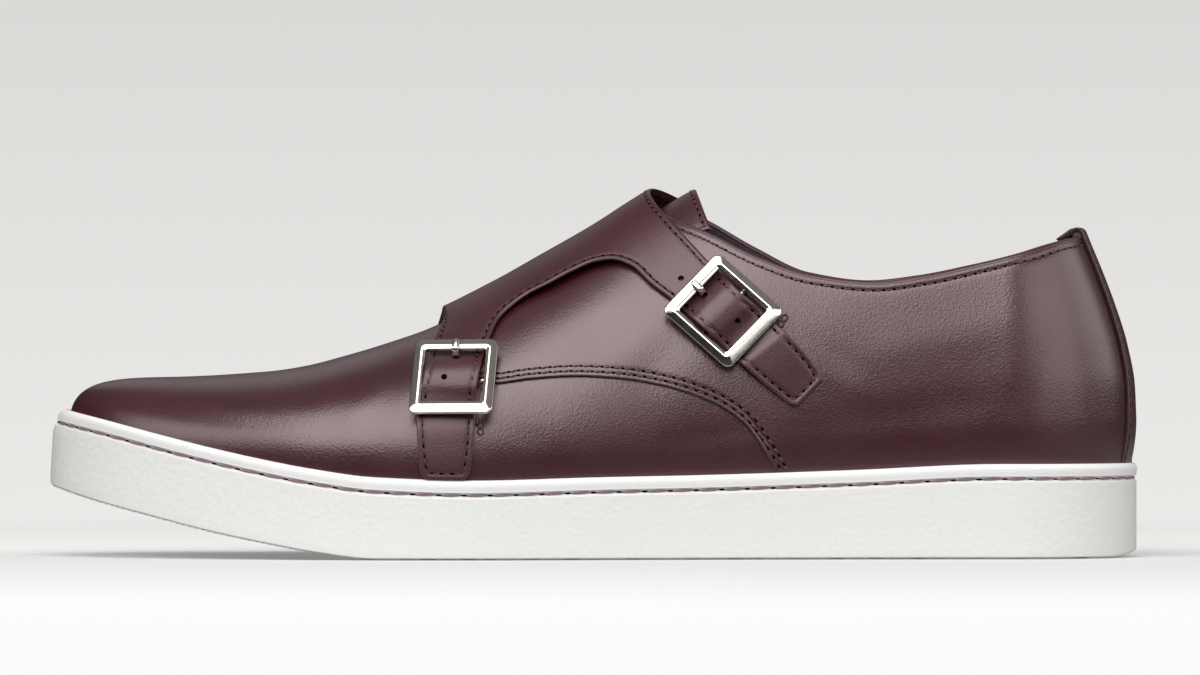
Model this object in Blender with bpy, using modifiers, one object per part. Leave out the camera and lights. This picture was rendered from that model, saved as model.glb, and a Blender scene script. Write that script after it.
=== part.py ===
"""Double monk strap sneaker, left shoe, as separate solids in one frame.

The tables are in millimetres and the scene in metres. X runs from the toe (-X) to the heel (+X), Y from
the lateral side, which carries the buckles (-Y), to the medial side (+Y), and Z up from the tread's flat
underside. The last is one function: surface() gives a point of the upper's outer face, and every leather
piece is a patch of that face, moved off it by its own rise.
"""

import bmesh
import bpy
import numpy as np
from mathutils import Matrix

MM = 0.001
GAP = 0.3  # clearance between neighbouring pieces

# Sole outline, seen from above
SOLE_TIP = -149.7
SOLE_BACK = 150.0
TOE_START = -78.0  # in front of this section the outline closes round the toe
TOE_ROUND = 2.05
HEEL_START = 112.0  # behind this section it closes round the heel
HEEL_ROUND = 2.1

# Upper, where it is widest
UPPER_TIP = -144.6
UPPER_BACK = 148.5
UPPER_INSET = 2.4  # from the sole's edge, along the sides
UPPER_WALL = 1.9
TUCK = 0.25  # how far it draws in again below its widest line, as a share of that depth
FOOT_TURN = 1.0  # turn from the widest line down to the cup's floor
TOE_CAP_START = -112.0  # in front of this section the ridge drops to the toe
TOE_CAP_ROUND = 4.0
VAMP_POINT = -33.0  # the throat opens behind this section
THROAT_END = 17.0
THROAT_HALF = 13.0

# Sole
TREAD_INSET = 8.0
TREAD_DROP = 1.0  # the tread stands this far below the sidewall
TREAD_POCKET = 3.5
TREAD_INNER = 1.2  # the sidewall's foot, inside the sole's edge
FOOT_ROUND = 1.6  # and how far above it the sidewall is upright
TOE_LEAN = 3.2  # the lip's top draws back by this at the toe's tip,
TOE_LEAN_START = -130.0  # by less behind it, up to this section,
TOE_LEAN_DEPTH = 11.0  # and by less below it, down to this depth
GROOVE_DEEP = 0.9  # the stitched groove: its depth, and its edges' and floor's distances below the lip
GROOVE_EDGES = (5.4, 2.8)
GROOVE_FLOOR = (4.6, 3.6)
LIP_INNER = 1.0
LIP_ROUND = 0.7
INSOLE_THICK = 3.0

# Flap, straps, tongue and heel strip
STRAP_THICK = 1.8
FLAP_RIDGE_RISE = 2.2
FLAP_ROOT_RISE = 0.8
FLAP_MARGIN_RISE = 0.4
SCALLOP_RISE = 1.5  # more room under the flap's free edge between the straps
FLAP_TURNED = 3.0  # the front edge turns down over this far,
FLAP_LEFT = 0.2  # and keeps this share of its rise
MARGIN_TURN = (0.50, 0.57)  # where the flap is sewn down, at its front and its back
ACROSS_STRAP = 4  # points across a strap, and along it
ALONG_STRAP = 19
TONGUE_THICK = 2.0
TONGUE_FRONT = -50.0
TONGUE_TOP = 27.2  # the middle of its top edge,
TONGUE_CORNER = 4.9  # and how far behind it the corners reach
TONGUE_TURN = (0.42, 0.60)  # half its width, in turn, at its front and its top
STRIP_THICK = 1.2
STRIP_LOW = 26.6
STRIP_TOP = 89.8
KEEPER_THICK = 0.7
KEEPER_RUN = (1.5, -13.0)  # from the bar towards the strap's tip
KEEPER_HALF = 8.3

# Buckles: both the same, along and across the strap
BUCKLE_LONG = 24.6
BUCKLE_WIDE = 22.8
BUCKLE_CORNER = 2.6
WINDOW_LONG = 17.4
WINDOW_WIDE = 16.6
WINDOW_CORNER = 0.7
FRAME_THICK = 1.8
FRAME_RISE = 3.5
BAR_RISE = 2.2
BAR_RADIUS = 0.6
POST_WIDE = 1.4
POST_LONG = 1.8
PRONG_RADIUS = 0.4
PRONG_HOLE_RADIUS = 1.25
PRONG_HOLE_AT = 7.1

# Sections along one side: from the toe cap, along the foot, and round the heel
TOE_STEPS = 11
FOOT_STEPS = 25
HEEL_STEPS = 8
LATERAL = -1
MEDIAL = 1


def table(names, rows):
    """The columns of a table by name, from its rows."""
    return dict(zip(names.split(), np.array(rows, float).T))


# centre: the ridge line. lateral, medial: from there to the sole's edge, before the toe and heel close.
# widest: height of the upper's widest line. crown, flank: the section's roundness at top and side.
LAST = table(
    "x centre lateral medial widest crown flank",
    (
        (-150, 8.0, 44.0, 44.0, 31, 2.30, 2.50),
        (-118, 5.5, 45.5, 44.0, 29, 2.30, 2.50),
        (-95, 4.0, 48.0, 45.0, 28, 2.25, 2.40),
        (-62, 2.0, 52.0, 48.5, 27, 2.15, 2.20),
        (-40, 1.0, 52.5, 48.5, 27, 2.05, 2.05),
        (-10, 0.5, 49.5, 42.5, 29, 1.95, 1.85),
        (20, 0.2, 45.2, 37.0, 31, 1.94, 1.80),
        (50, 0.0, 41.5, 35.5, 33, 1.94, 1.80),
        (80, 0.0, 39.0, 36.5, 36, 1.94, 1.80),
        (112, 0.0, 38.0, 37.5, 38, 1.94, 1.80),
        (150, 0.0, 38.0, 37.5, 38, 1.94, 1.80),
    ),
)
# The ridge over the vamp and instep. Over the collar it is the top of the leg's cone.
RIDGE = table(
    "x z",
    (
        (-150, 49.2), (-119, 49.4), (-89, 51.0), (-80, 52.3), (-67, 55.6), (-47, 62.1), (-25, 72.6),
        (-12, 79.9), (2, 87.9), (14, 95.6), (30, 105.0), (55, 114.0), (85, 123.0), (112, 125.0), (150, 125.0),
    ),
)
# The collar's edge on each side.
TOPLINE = table(
    "x lateral medial",
    (
        (12, 97.5, 99.0), (21, 92.5, 96.5), (31, 88.3, 92.4), (45, 81.4, 84.6), (60, 76.4, 77.7),
        (77, 74.6, 75.4), (91, 76.4, 76.9), (105, 79.5, 79.7), (118, 82.8, 82.8), (129, 86.2, 86.1),
        (138, 88.1, 88.1),
    ),
)
# How far the heel's back leans forward at each height.
BACK = table("z lean", ((38, 0), (47, -0.4), (58, -2.4), (69, -5.8), (78, -9.2), (86, -12.5), (125, -28)))
# base: the tread's underside. lip: the sidewall's top. floor: what the insole lies on.
SOLE = table(
    "x base lip floor",
    (
        (-150, 19.6, 41.6, 27.6), (-134, 14.9, 38.0, 22.9), (-119, 11.1, 34.2, 19.0), (-104, 7.4, 30.5, 15.4),
        (-89, 4.3, 27.2, 12.3), (-75, 1.8, 24.6, 10.2), (-59, 0, 22.5, 8.8), (-31, 0, 21.6, 9.2),
        (0, 0, 22.4, 10.8), (30, 0, 23.0, 12.2), (71, 0, 24.3, 13.6), (111, 0, 25.9, 14.0),
        (142, 0, 25.9, 14.0), (150, 1.5, 25.9, 14.0),
    ),
)
# The flap's lower edge between the two straps, seen from the lateral side.
SCALLOP = table(
    "x z",
    (
        (-25.4, 66.0), (-18.4, 71.5), (-11.7, 74.5), (-5, 77.8), (1.7, 80.6), (5.7, 81.2), (10.5, 79.9),
        (16, 75.0),
    ),
)
# Where each column of the flap crosses the ridge and meets the sewn margin, by where it ends below.
FLAP_COLUMNS = table(
    "low ridge margin",
    (
        (-41.6, -39.5, -44), (-27.8, -30, -31), (-18.4, -21.5, -22), (-5, -7, -7), (5.7, 4.7, 5),
        (10.5, 8.8, 10), (16, 12.0, 15), (21.4, 14.4, 20), (31.4, 18.2, 32),
    ),
)
# Each strap's two edges from the flap to the tip, seen from the lateral side.
FRONT_STRAP = table(
    "fore_x fore_z aft_x aft_z",
    (
        (-41.6, 63.5, -27.8, 61.0), (-43.3, 58.8, -28.9, 58.2), (-45.1, 51.0, -30.8, 50.2),
        (-46.0, 43.5, -32.0, 42.8), (-46.6, 38.6, -32.3, 38.2), (-46.9, 30.5, -32.6, 30.5),
        (-46.7, 23.9, -33.2, 23.6), (-45.3, 22.3, -34.5, 22.2),
    ),
)
REAR_STRAP = table(
    "fore_x fore_z aft_x aft_z",
    (
        (21.4, 70.8, 31.4, 81.5), (27.3, 65.6, 37.5, 75.3), (33.7, 59.7, 44.1, 68.8), (39.8, 54.0, 50.6, 62.3),
        (47.4, 47.3, 57.0, 55.5), (54.2, 42.1, 62.0, 50.0), (55.8, 42.0, 62.4, 48.8),
    ),
)
# A strap's underside above the upper, by distance from the buckle's centre bar towards the flap.
STRAP_RISE = table(
    "along rise",
    (
        (-32, 0.45), (-18, 0.6), (-13, 1.2), (-8, 1.2), (-5.8, 2.2), (-3, 3.9), (0, 4.6), (3, 4.2),
        (5.8, 2.5), (8, 1.2), (12, 0.9), (14, FLAP_ROOT_RISE), (30, FLAP_ROOT_RISE),
    ),
)
# Half the heel strip's width at each height.
STRIP = table("z half", ((27, 15.0), (44, 13.6), (62, 12.4), (78, 11.4), (90, 10.5)))
# The prong's centre line: distance from the bar towards the flap, and height above the upper.
PRONG_RUN = (
    (1.3, 3.1), (3.0, 2.0), (5.0, 1.1), (6.2, 1.1), (7.1, 3.0), (7.6, 5.0), (8.5, 6.0), (11.4, 6.0),
    (12.2, 5.9),
)
BUCKLES = {"front": (-37.35, 49.3), "rear": (35.55, 67.3)}
BUCKLE_TURN = {"front": 7.5, "rear": 0.0}  # degrees from the strap's own direction
STRAPS = {"front": FRONT_STRAP, "rear": REAR_STRAP}

LEATHER = (0.115, 0.024, 0.034)
LINING = (0.020, 0.021, 0.024)
RUBBER = (0.82, 0.82, 0.80)
NICKEL = (0.62, 0.59, 0.54)


def smooth(x, xs, ys):
    """A smooth curve through a table's points that never overshoots them (monotone cubic)."""
    width = np.diff(xs)
    slope = np.diff(ys) / width
    left, right = slope[:-1], slope[1:]
    same = left * right > 0
    tangent = np.zeros(len(xs))
    weight_left = 2 * width[1:] + width[:-1]
    weight_right = width[1:] + 2 * width[:-1]
    safe_left = np.where(same, left, 1)
    safe_right = np.where(same, right, 1)
    mean = (weight_left + weight_right) / (weight_left / safe_left + weight_right / safe_right)
    tangent[1:-1] = np.where(same, mean, 0)
    tangent[0], tangent[-1] = slope[0], slope[-1]
    x = np.clip(x, xs[0], xs[-1])
    cell = np.clip(np.searchsorted(xs, x, side="right") - 1, 0, len(width) - 1)
    t = (x - xs[cell]) / width[cell]
    return (
        ys[cell] * (1 + 2 * t) * (1 - t) ** 2
        + tangent[cell] * width[cell] * t * (1 - t) ** 2
        + ys[cell + 1] * t**2 * (3 - 2 * t)
        - tangent[cell + 1] * width[cell] * t**2 * (1 - t)
    )


def read(source, name, x, by="x"):
    return smooth(np.asarray(x, float), source[by], source[name])


def ease(share):
    """From 0 to 1 with no slope at either end."""
    share = np.clip(share, 0, 1)
    return share**2 * (3 - 2 * share)


def closing(share, power):
    """From 1 at share 0 down to 0 at share 1, as a superellipse's quarter."""
    return (1 - np.clip(share, 0, 1) ** power) ** (1 / power)


def half_width(x, side, tip, back, inset):
    """From the ridge line to an outline, on one side, with the toe and heel closed."""
    full = np.where(side < 0, read(LAST, "lateral", x), read(LAST, "medial", x)) - inset
    toe = closing((TOE_START - x) / (TOE_START - tip), TOE_ROUND)
    heel = closing((x - HEEL_START) / (back - HEEL_START), HEEL_ROUND)
    return full * toe * heel


def ridge(x):
    """Height of the ridge, dropping to the upper's widest line at the toe."""
    widest = read(LAST, "widest", x)
    drop = closing((TOE_CAP_START - x) / (TOE_CAP_START - UPPER_TIP), TOE_CAP_ROUND)
    return widest + (read(RIDGE, "z", x) - widest) * drop


def heel_share(x):
    """0 up to where the heel starts, 1 at its back."""
    return np.clip((x - HEEL_START) / (UPPER_BACK - HEEL_START), 0, 1)


def surface(x, turn):
    """Points on the upper's outer face.

    turn is 0 on the ridge, -pi/2 at the lateral widest line and pi/2 at the medial one. Width grows as
    sin(turn)^(2/crown) and height falls as cos(turn)^(2/flank), so each section is a superellipse. Past a
    quarter turn the side draws in again, as a parabola down to the cup's floor.
    """
    side = np.where(turn < 0, LATERAL, MEDIAL)
    widest = read(LAST, "widest", x)
    depth = widest - read(SOLE, "floor", x)
    above = np.minimum(np.abs(turn), np.pi / 2)
    below = np.maximum(np.abs(turn) - np.pi / 2, 0) / FOOT_TURN
    rise = np.cos(above) ** (2 / read(LAST, "flank", x))
    reach = np.sin(above) ** (2 / read(LAST, "crown", x))
    half = half_width(x, side, UPPER_TIP, UPPER_BACK, UPPER_INSET)
    z = widest + (ridge(x) - widest) * rise - depth * below
    y = read(LAST, "centre", x) + side * (half * reach - TUCK * depth * below**2)
    return np.stack([x + read(BACK, "lean", z, by="z") * heel_share(x), y, z], axis=-1)


def lifted(x, turn, rise):
    """Points moved off the upper's outer face by rise, along its normal."""
    step = 0.02
    along = surface(x + step, turn) - surface(x - step, turn)
    across = surface(x, turn + step) - surface(x, turn - step)
    normal = np.cross(along, across)
    normal /= np.linalg.norm(normal, axis=-1, keepdims=True)
    return surface(x, turn) + np.asarray(rise)[..., None] * normal


def turn_at(x, z, side):
    """The turn at which a section passes a height."""
    widest = read(LAST, "widest", x)
    share = np.clip((z - widest) / np.maximum(ridge(x) - widest, GAP), 0, 1)
    below = np.maximum(widest - z, 0) / (widest - read(SOLE, "floor", x))
    return side * (np.arccos(share ** (read(LAST, "flank", x) / 2)) + FOOT_TURN * below)


def place(x, z, side, rise):
    """(x, turn) of the patch point that is seen at x, z from the side, once it is lifted by rise."""
    x, z = np.broadcast_arrays(np.asarray(x, float), np.asarray(z, float))
    aim_x, aim_z = x.copy(), z.copy()
    for _ in range(8):
        lean = read(BACK, "lean", aim_z, by="z") / (UPPER_BACK - HEEL_START)
        behind = aim_x > HEEL_START
        at = np.where(behind, (aim_x + lean * HEEL_START) / (1 + lean), aim_x)
        turn = turn_at(at, aim_z, side)
        found = lifted(at, turn, rise)
        aim_x = aim_x + x - found[..., 0]
        aim_z = aim_z + z - found[..., 2]
    return at, turn


def sections(tip, back):
    """Stations along one side, closer together round the toe and the heel."""
    toe = TOE_START - (TOE_START - tip) * np.sin(np.linspace(np.pi / 2, 0, TOE_STEPS + 1))
    foot = np.linspace(TOE_START, HEEL_START, FOOT_STEPS + 1)
    heel = HEEL_START + (back - HEEL_START) * np.sin(np.linspace(0, np.pi / 2, HEEL_STEPS + 1))
    return np.concatenate([toe, foot[1:], heel[1:]])


def outline(tip, back, inset):
    """One loop seen from above: x, y and the inward direction, lateral side first, then the medial."""
    one_side = sections(tip, back)
    x = np.concatenate([one_side, one_side[-2:0:-1]])
    side = np.where(np.arange(len(x)) < len(one_side), LATERAL, MEDIAL)
    y = read(LAST, "centre", x) + side * half_width(x, side, tip, back, inset)
    ahead = np.roll(np.stack([x, y], axis=1), -1, axis=0) - np.roll(np.stack([x, y], axis=1), 1, axis=0)
    ahead /= np.linalg.norm(ahead, axis=1, keepdims=True)
    return x, y, side, np.stack([-ahead[:, 1], ahead[:, 0]], axis=1)


def toe_lean(x, line, offset):
    """How far the wall draws back round the toe: nothing at its foot, most at the lip's top."""
    if line != "lip":
        return 0 * x
    ahead = np.clip((TOE_LEAN_START - x) / (TOE_LEAN_START - SOLE_TIP), 0, 1)
    height = np.clip(1 + offset / TOE_LEAN_DEPTH, 0, 1)
    return TOE_LEAN * ahead**2 * height**1.5


def sole_ring(inset, line, offset):
    """A loop round the sole, this far inside its edge, at a height read from the sole's table."""
    x, y, _, inward = outline(SOLE_TIP, SOLE_BACK, 0)
    inset = inset + toe_lean(x, line, offset)
    x, y = x + inset * inward[:, 0], y + inset * inward[:, 1]
    return np.stack([x, y, read(SOLE, line, x) + offset], axis=1)


def upper_foot_ring(depth_share, outward):
    """A loop round the upper below its widest line: 0 is that line and 1 the cup's floor."""
    x, y, _, inward = outline(UPPER_TIP, UPPER_BACK, UPPER_INSET)
    depth = read(LAST, "widest", x) - read(SOLE, "floor", x)
    inset = TUCK * depth * depth_share**2 - outward
    z = read(LAST, "widest", x) - depth * depth_share
    return np.stack([x + inset * inward[:, 0], y + inset * inward[:, 1], z], axis=1)


def upper_edge_turn(x, side):
    """Where the upper ends: at the ridge in front, then along the throat, then along the collar."""
    open_share = np.clip((x - VAMP_POINT) / (THROAT_END - VAMP_POINT), 0, 1)
    half = half_width(x, side, UPPER_TIP, UPPER_BACK, UPPER_INSET)
    slot = np.clip(THROAT_HALF * open_share**0.8 / np.maximum(half, 1), 0, 1)
    throat = np.where(x < HEEL_START, np.arcsin(slot ** (read(LAST, "crown", x) / 2)), 0)
    seen = x.copy()
    for _ in range(4):
        edge = np.where(side < 0, read(TOPLINE, "lateral", seen), read(TOPLINE, "medial", seen))
        seen = x + read(BACK, "lean", edge, by="z") * heel_share(x)
    collar = np.where(x > TOPLINE["x"][0], np.abs(turn_at(x, edge, MEDIAL)), 0)
    return np.maximum(throat, collar)


def grid_faces(rows, columns, closed):
    """Quads of a grid whose points are stored row after row."""
    row, column = np.mgrid[: rows - 1, : columns if closed else columns - 1]
    first = row * columns + column
    second = row * columns + (column + 1) % columns
    return np.stack([first, second, second + columns, first + columns], axis=-1).reshape(-1, 4)


def cap_faces(count, start, facing_up):
    """Rungs between the two sides of a loop."""
    left = np.arange(count // 2)
    right = (count - left) % count
    rungs = np.stack([left, left + 1, (count - left - 1) % count, right], axis=1) + start
    return rungs if facing_up else rungs[:, ::-1]


def finish(name, mesh, colour, roughness, metallic=0.0):
    """One named object with its own material."""
    material = bpy.data.materials.new(name + "_finish")
    material.use_nodes = True
    shader = material.node_tree.nodes["Principled BSDF"]
    shader.inputs["Base Color"].default_value = (*colour, 1)
    shader.inputs["Roughness"].default_value = roughness
    shader.inputs["Metallic"].default_value = metallic
    mesh.materials.append(material)
    piece = bpy.data.objects.new(name, mesh)
    shoe.objects.link(piece)
    return piece


def mesh_of(name, points, faces):
    """A mesh from millimetres, with shared points made one and smooth shading."""
    mesh = bpy.data.meshes.new(name)
    tidy = [list(dict.fromkeys(face)) for face in faces.tolist()]
    mesh.from_pydata((points * MM).tolist(), [], [face for face in tidy if len(face) > 2])
    work = bmesh.new()
    work.from_mesh(mesh)
    bmesh.ops.remove_doubles(work, verts=work.verts, dist=0.02 * MM)
    work.to_mesh(mesh)
    work.free()
    mesh.shade_smooth()
    mesh.set_sharp_from_angle(angle=0.7)
    return mesh


def stacked(name, rings, colour, roughness):
    """A closed solid from a stack of loops, with a cap on the first and the last."""
    count = len(rings[0])
    faces = [
        grid_faces(len(rings), count, closed=True),
        cap_faces(count, 0, facing_up=False),
        cap_faces(count, (len(rings) - 1) * count, facing_up=True),
    ]
    return finish(name, mesh_of(name, np.concatenate(rings), np.concatenate(faces)), colour, roughness)


def walled(name, points, faces, thickness, colour, roughness):
    """A sheet given a wall on its inner side."""
    piece = finish(name, mesh_of(name, points, faces), colour, roughness)
    wall = piece.modifiers.new("Wall", "SOLIDIFY")
    wall.thickness = thickness * MM
    wall.offset = -1
    return piece


def patch(name, points, thickness, colour, roughness):
    """A walled sheet from a grid of points, rows by columns."""
    rows, columns = points.shape[:2]
    return walled(name, points.reshape(-1, 3), grid_faces(rows, columns, False), thickness, colour, roughness)


def make_cup_sole():
    rings = [
        sole_ring(TREAD_INSET, "base", TREAD_POCKET),
        sole_ring(TREAD_INSET, "base", TREAD_DROP),
        sole_ring(TREAD_INNER, "base", TREAD_DROP),
        sole_ring(0, "base", TREAD_DROP + FOOT_ROUND),
        sole_ring(0, "lip", -GROOVE_EDGES[0]),
        sole_ring(GROOVE_DEEP, "lip", -GROOVE_FLOOR[0]),
        sole_ring(GROOVE_DEEP, "lip", -GROOVE_FLOOR[1]),
        sole_ring(0, "lip", -GROOVE_EDGES[1]),
        sole_ring(0.2, "lip", -LIP_ROUND),
        sole_ring(LIP_INNER, "lip", 0),
    ]
    lip = rings[-1]
    top = upper_foot_ring(0, GAP)
    low = upper_foot_ring(1, GAP)
    height = read(SOLE, "lip", top[:, 0]) - GAP
    share = np.clip((top[:, 2] - height) / (top[:, 2] - low[:, 2]), 0, 1)
    top = upper_foot_ring(share, GAP)
    top[:, 2] = np.minimum(height, lip[:, 2])
    rings += [top, *(upper_foot_ring(share + (1 - share) * part, GAP) for part in (0.3, 0.65)), low]
    return stacked("cup_sole", rings, RUBBER, 0.6)


def make_outsole():
    inset = TREAD_INSET + GAP
    rings = [
        sole_ring(inset + 0.8, "base", 0),
        sole_ring(inset, "base", 0.8),
        sole_ring(inset, "base", TREAD_POCKET - GAP),
    ]
    return stacked("outsole", rings, RUBBER, 0.7)


def make_insole():
    under = upper_foot_ring(1, -(UPPER_WALL * 1.15 + 2 * GAP))
    rings = [under + (0, 0, GAP), under + (0, 0, GAP + INSOLE_THICK)]
    return stacked("insole", rings, LINING, 0.9)


def make_upper():
    x, _, side, _ = outline(UPPER_TIP, UPPER_BACK, UPPER_INSET)
    depth = read(LAST, "widest", x) - read(SOLE, "floor", x)
    foot = [upper_foot_ring(share, 0) for share in (1 - GAP / depth, 0.75, 0.5, 0.25)]
    edge = upper_edge_turn(x, side)
    flank = [surface(x, side * (np.pi / 2 + (edge - np.pi / 2) * share)) for share in np.linspace(0, 1, 10)]
    rows = foot + flank
    faces = grid_faces(len(rows), len(x), closed=True)
    return walled("upper", np.concatenate(rows), faces, UPPER_WALL, LEATHER, 0.45)


def make_tongue():
    """A sheet under the throat, from inside the vamp to above the collar."""
    reach = np.linspace(1, -1, 11)[None, :]
    along = np.linspace(0, 1, 12)[:, None]
    half_turn = TONGUE_TURN[0] + (TONGUE_TURN[1] - TONGUE_TURN[0]) * along
    top = TONGUE_TOP + TONGUE_CORNER * reach**2
    x = TONGUE_FRONT + (top - TONGUE_FRONT) * along
    turn = half_turn * reach
    points = lifted(x, turn, np.full(turn.shape, -(UPPER_WALL + 2 * GAP)))
    return patch("tongue", points, TONGUE_THICK, LEATHER, 0.5)


def buckle_seat(name):
    """The buckle's middle on the upper, and the directions across the strap, up it, and outwards."""
    seen = np.array(BUCKLES[name])
    strap = STRAPS[name]
    middle = np.stack([strap["fore_x"] + strap["aft_x"], strap["fore_z"] + strap["aft_z"]], axis=1) / 2
    direction = middle[1] - middle[3]
    direction /= np.linalg.norm(direction)
    at, turn = place(*seen, LATERAL, FRAME_RISE)
    normal = lifted(at, turn, 1.0) - surface(at, turn)
    lower, upper = (surface(*place(*(seen + reach * direction), LATERAL, FRAME_RISE)) for reach in (-4, 4))
    up = upper - lower
    up -= normal * (up @ normal)
    up /= np.linalg.norm(up)
    lean = np.radians(BUCKLE_TURN[name])
    up = up * np.cos(lean) - np.cross(up, normal) * np.sin(lean)
    return surface(at, turn), np.cross(up, normal), up, normal


def buckle_matrix(name, rise):
    """Where a buckle's piece sits: local X across the strap, Y up it, Z outwards."""
    middle, across, up, normal = buckle_seat(name)
    origin = (middle + rise * normal) * MM
    columns = np.column_stack([across, up, normal, origin])
    return Matrix(np.vstack([columns, (0, 0, 0, 1)]).tolist())


def strap_rise(name, x, z):
    """How far the strap's underside stands off the upper, where its middle line is seen at x, z. A raised
    point is seen elsewhere than its foot, so the rise and the place settle together over a few rounds."""
    middle, _, up, _ = buckle_seat(name)
    rise = np.full(len(x), FLAP_ROOT_RISE)
    for _ in range(8):
        seat = surface(*place(x, z, LATERAL, rise + STRAP_THICK))
        rise = read(STRAP_RISE, "rise", (seat - middle) @ up, by="along")
    return rise


def strap_edges(name, share):
    """Both edges of a strap, seen from the side, at these shares of its table."""
    strap = STRAPS[name]
    row = np.linspace(0, 1, len(strap["fore_x"]))
    return {key: smooth(share, row, strap[key]) for key in strap}


def strap_grid(name, lengthwise, crosswise):
    """A strap's outer face: rows from the flap to the tip, columns between its two edges. Rows are evenly
    spaced along the raised middle line up to the tip's corners."""
    corners = 1 - 1 / (len(STRAPS[name]["fore_x"]) - 1)
    fine = np.linspace(0, corners, 60)
    edges = strap_edges(name, fine)
    x, z = (edges["fore_x"] + edges["aft_x"]) / 2, (edges["fore_z"] + edges["aft_z"]) / 2
    rise = strap_rise(name, x, z) + STRAP_THICK
    line = lifted(*place(x, z, LATERAL, rise), rise)
    run = np.concatenate([[0], np.cumsum(np.linalg.norm(np.diff(line, axis=0), axis=1))])
    share = np.concatenate([np.interp(np.linspace(0, run[-1], lengthwise - 2), run, fine), [(1 + corners) / 2, 1]])
    edges = strap_edges(name, share)
    x, z = (edges["fore_x"] + edges["aft_x"]) / 2, (edges["fore_z"] + edges["aft_z"]) / 2
    rise = strap_rise(name, x, z)
    rise[0] = FLAP_ROOT_RISE
    rise = np.repeat(rise[:, None], crosswise, axis=1) + STRAP_THICK
    across = np.linspace(0, 1, crosswise)
    x = edges["fore_x"][:, None] + (edges["aft_x"] - edges["fore_x"])[:, None] * across
    z = edges["fore_z"][:, None] + (edges["aft_z"] - edges["fore_z"])[:, None] * across
    return lifted(*place(x, z, LATERAL, rise), rise)


def strap_root(name, crosswise):
    """Points along the line where a strap leaves the flap, seen from the side."""
    strap = STRAPS[name]
    fore, aft = (np.array([strap[edge + "_x"][0], strap[edge + "_z"][0]]) for edge in ("fore", "aft"))
    return fore + (aft - fore) * np.linspace(0, 1, crosswise)[:, None]


def flap_grid(crosswise):
    """The flap's body: rows from its medial margin over the ridge to its lower edge, columns from front to
    back. Each column's x is a parabola in turn through the margin, the ridge and the lower edge."""
    scallop = np.stack([SCALLOP["x"], SCALLOP["z"]], axis=1)
    lower = np.concatenate([strap_root("front", crosswise), scallop, strap_root("rear", crosswise)])
    low_rise = np.full(len(lower), FLAP_ROOT_RISE + STRAP_THICK)
    low_x, low_turn = place(lower[:, 0], lower[:, 1], LATERAL, low_rise)
    length = np.concatenate([[0], np.cumsum(np.linalg.norm(np.diff(lower, axis=0), axis=1))])
    ridge_x = read(FLAP_COLUMNS, "ridge", lower[:, 0], by="low")
    margin_x = read(FLAP_COLUMNS, "margin", lower[:, 0], by="low")
    margin_turn = MARGIN_TURN[0] + (MARGIN_TURN[1] - MARGIN_TURN[0]) * length / length[-1]
    turn = margin_turn + (low_turn - margin_turn) * np.linspace(0, 1, 12)[:, None]
    to_margin = (margin_x - ridge_x) / margin_turn
    to_low = (low_x - ridge_x) / low_turn
    bend = (to_margin - to_low) / (margin_turn - low_turn)
    drift = to_margin - bend * margin_turn
    x = ridge_x + drift * turn + bend * turn**2
    free = (np.arange(len(lower)) - crosswise + 1) / (len(lower) - 2 * crosswise + 1)
    edge_rise = FLAP_ROOT_RISE + SCALLOP_RISE * np.sin(np.pi * np.clip(free, 0, 1)) ** 2
    rise = FLAP_RIDGE_RISE + (FLAP_MARGIN_RISE - FLAP_RIDGE_RISE) * ease(turn / margin_turn)
    rise = rise + (edge_rise - FLAP_RIDGE_RISE) * ease(turn / low_turn)
    turned = (1 - FLAP_LEFT) * (1 - ease((x - x[:, :1]) / FLAP_TURNED))
    turned = turned * (1 - ease((turn / low_turn - 0.55) / 0.4))
    return lifted(x, turn, rise * (1 - turned) + STRAP_THICK)


def make_strap_flap():
    """The flap and its two straps as one sheet, with a hole in each strap for the prong."""
    grids = [flap_grid(ACROSS_STRAP), *(strap_grid(name, ALONG_STRAP, ACROSS_STRAP) for name in STRAPS)]
    points, faces, start = [], [], 0
    for grid in grids:
        rows, columns = grid.shape[:2]
        points.append(grid.reshape(-1, 3))
        faces.append(grid_faces(rows, columns, closed=False)[:, ::-1] + start)
        start += rows * columns
    piece = walled("strap_flap", np.concatenate(points), np.concatenate(faces), STRAP_THICK, LEATHER, 0.45)
    for name in BUCKLES:
        bpy.ops.mesh.primitive_cylinder_add(vertices=12, radius=PRONG_HOLE_RADIUS * MM, depth=12 * MM)
        punch = bpy.context.object
        punch.name = "punch_" + name
        punch.matrix_world = buckle_matrix(name, BAR_RISE) @ Matrix.Translation((0, PRONG_HOLE_AT * MM, 0))
        move_to(punch, cutters)
        punch.hide_render = True
        punch.display_type = "WIRE"
        hole = piece.modifiers.new("Prong hole " + name, "BOOLEAN")
        hole.object = punch
    return piece


def move_to(piece, collection):
    for holder in list(piece.users_collection):
        holder.objects.unlink(piece)
    collection.objects.link(piece)


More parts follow.
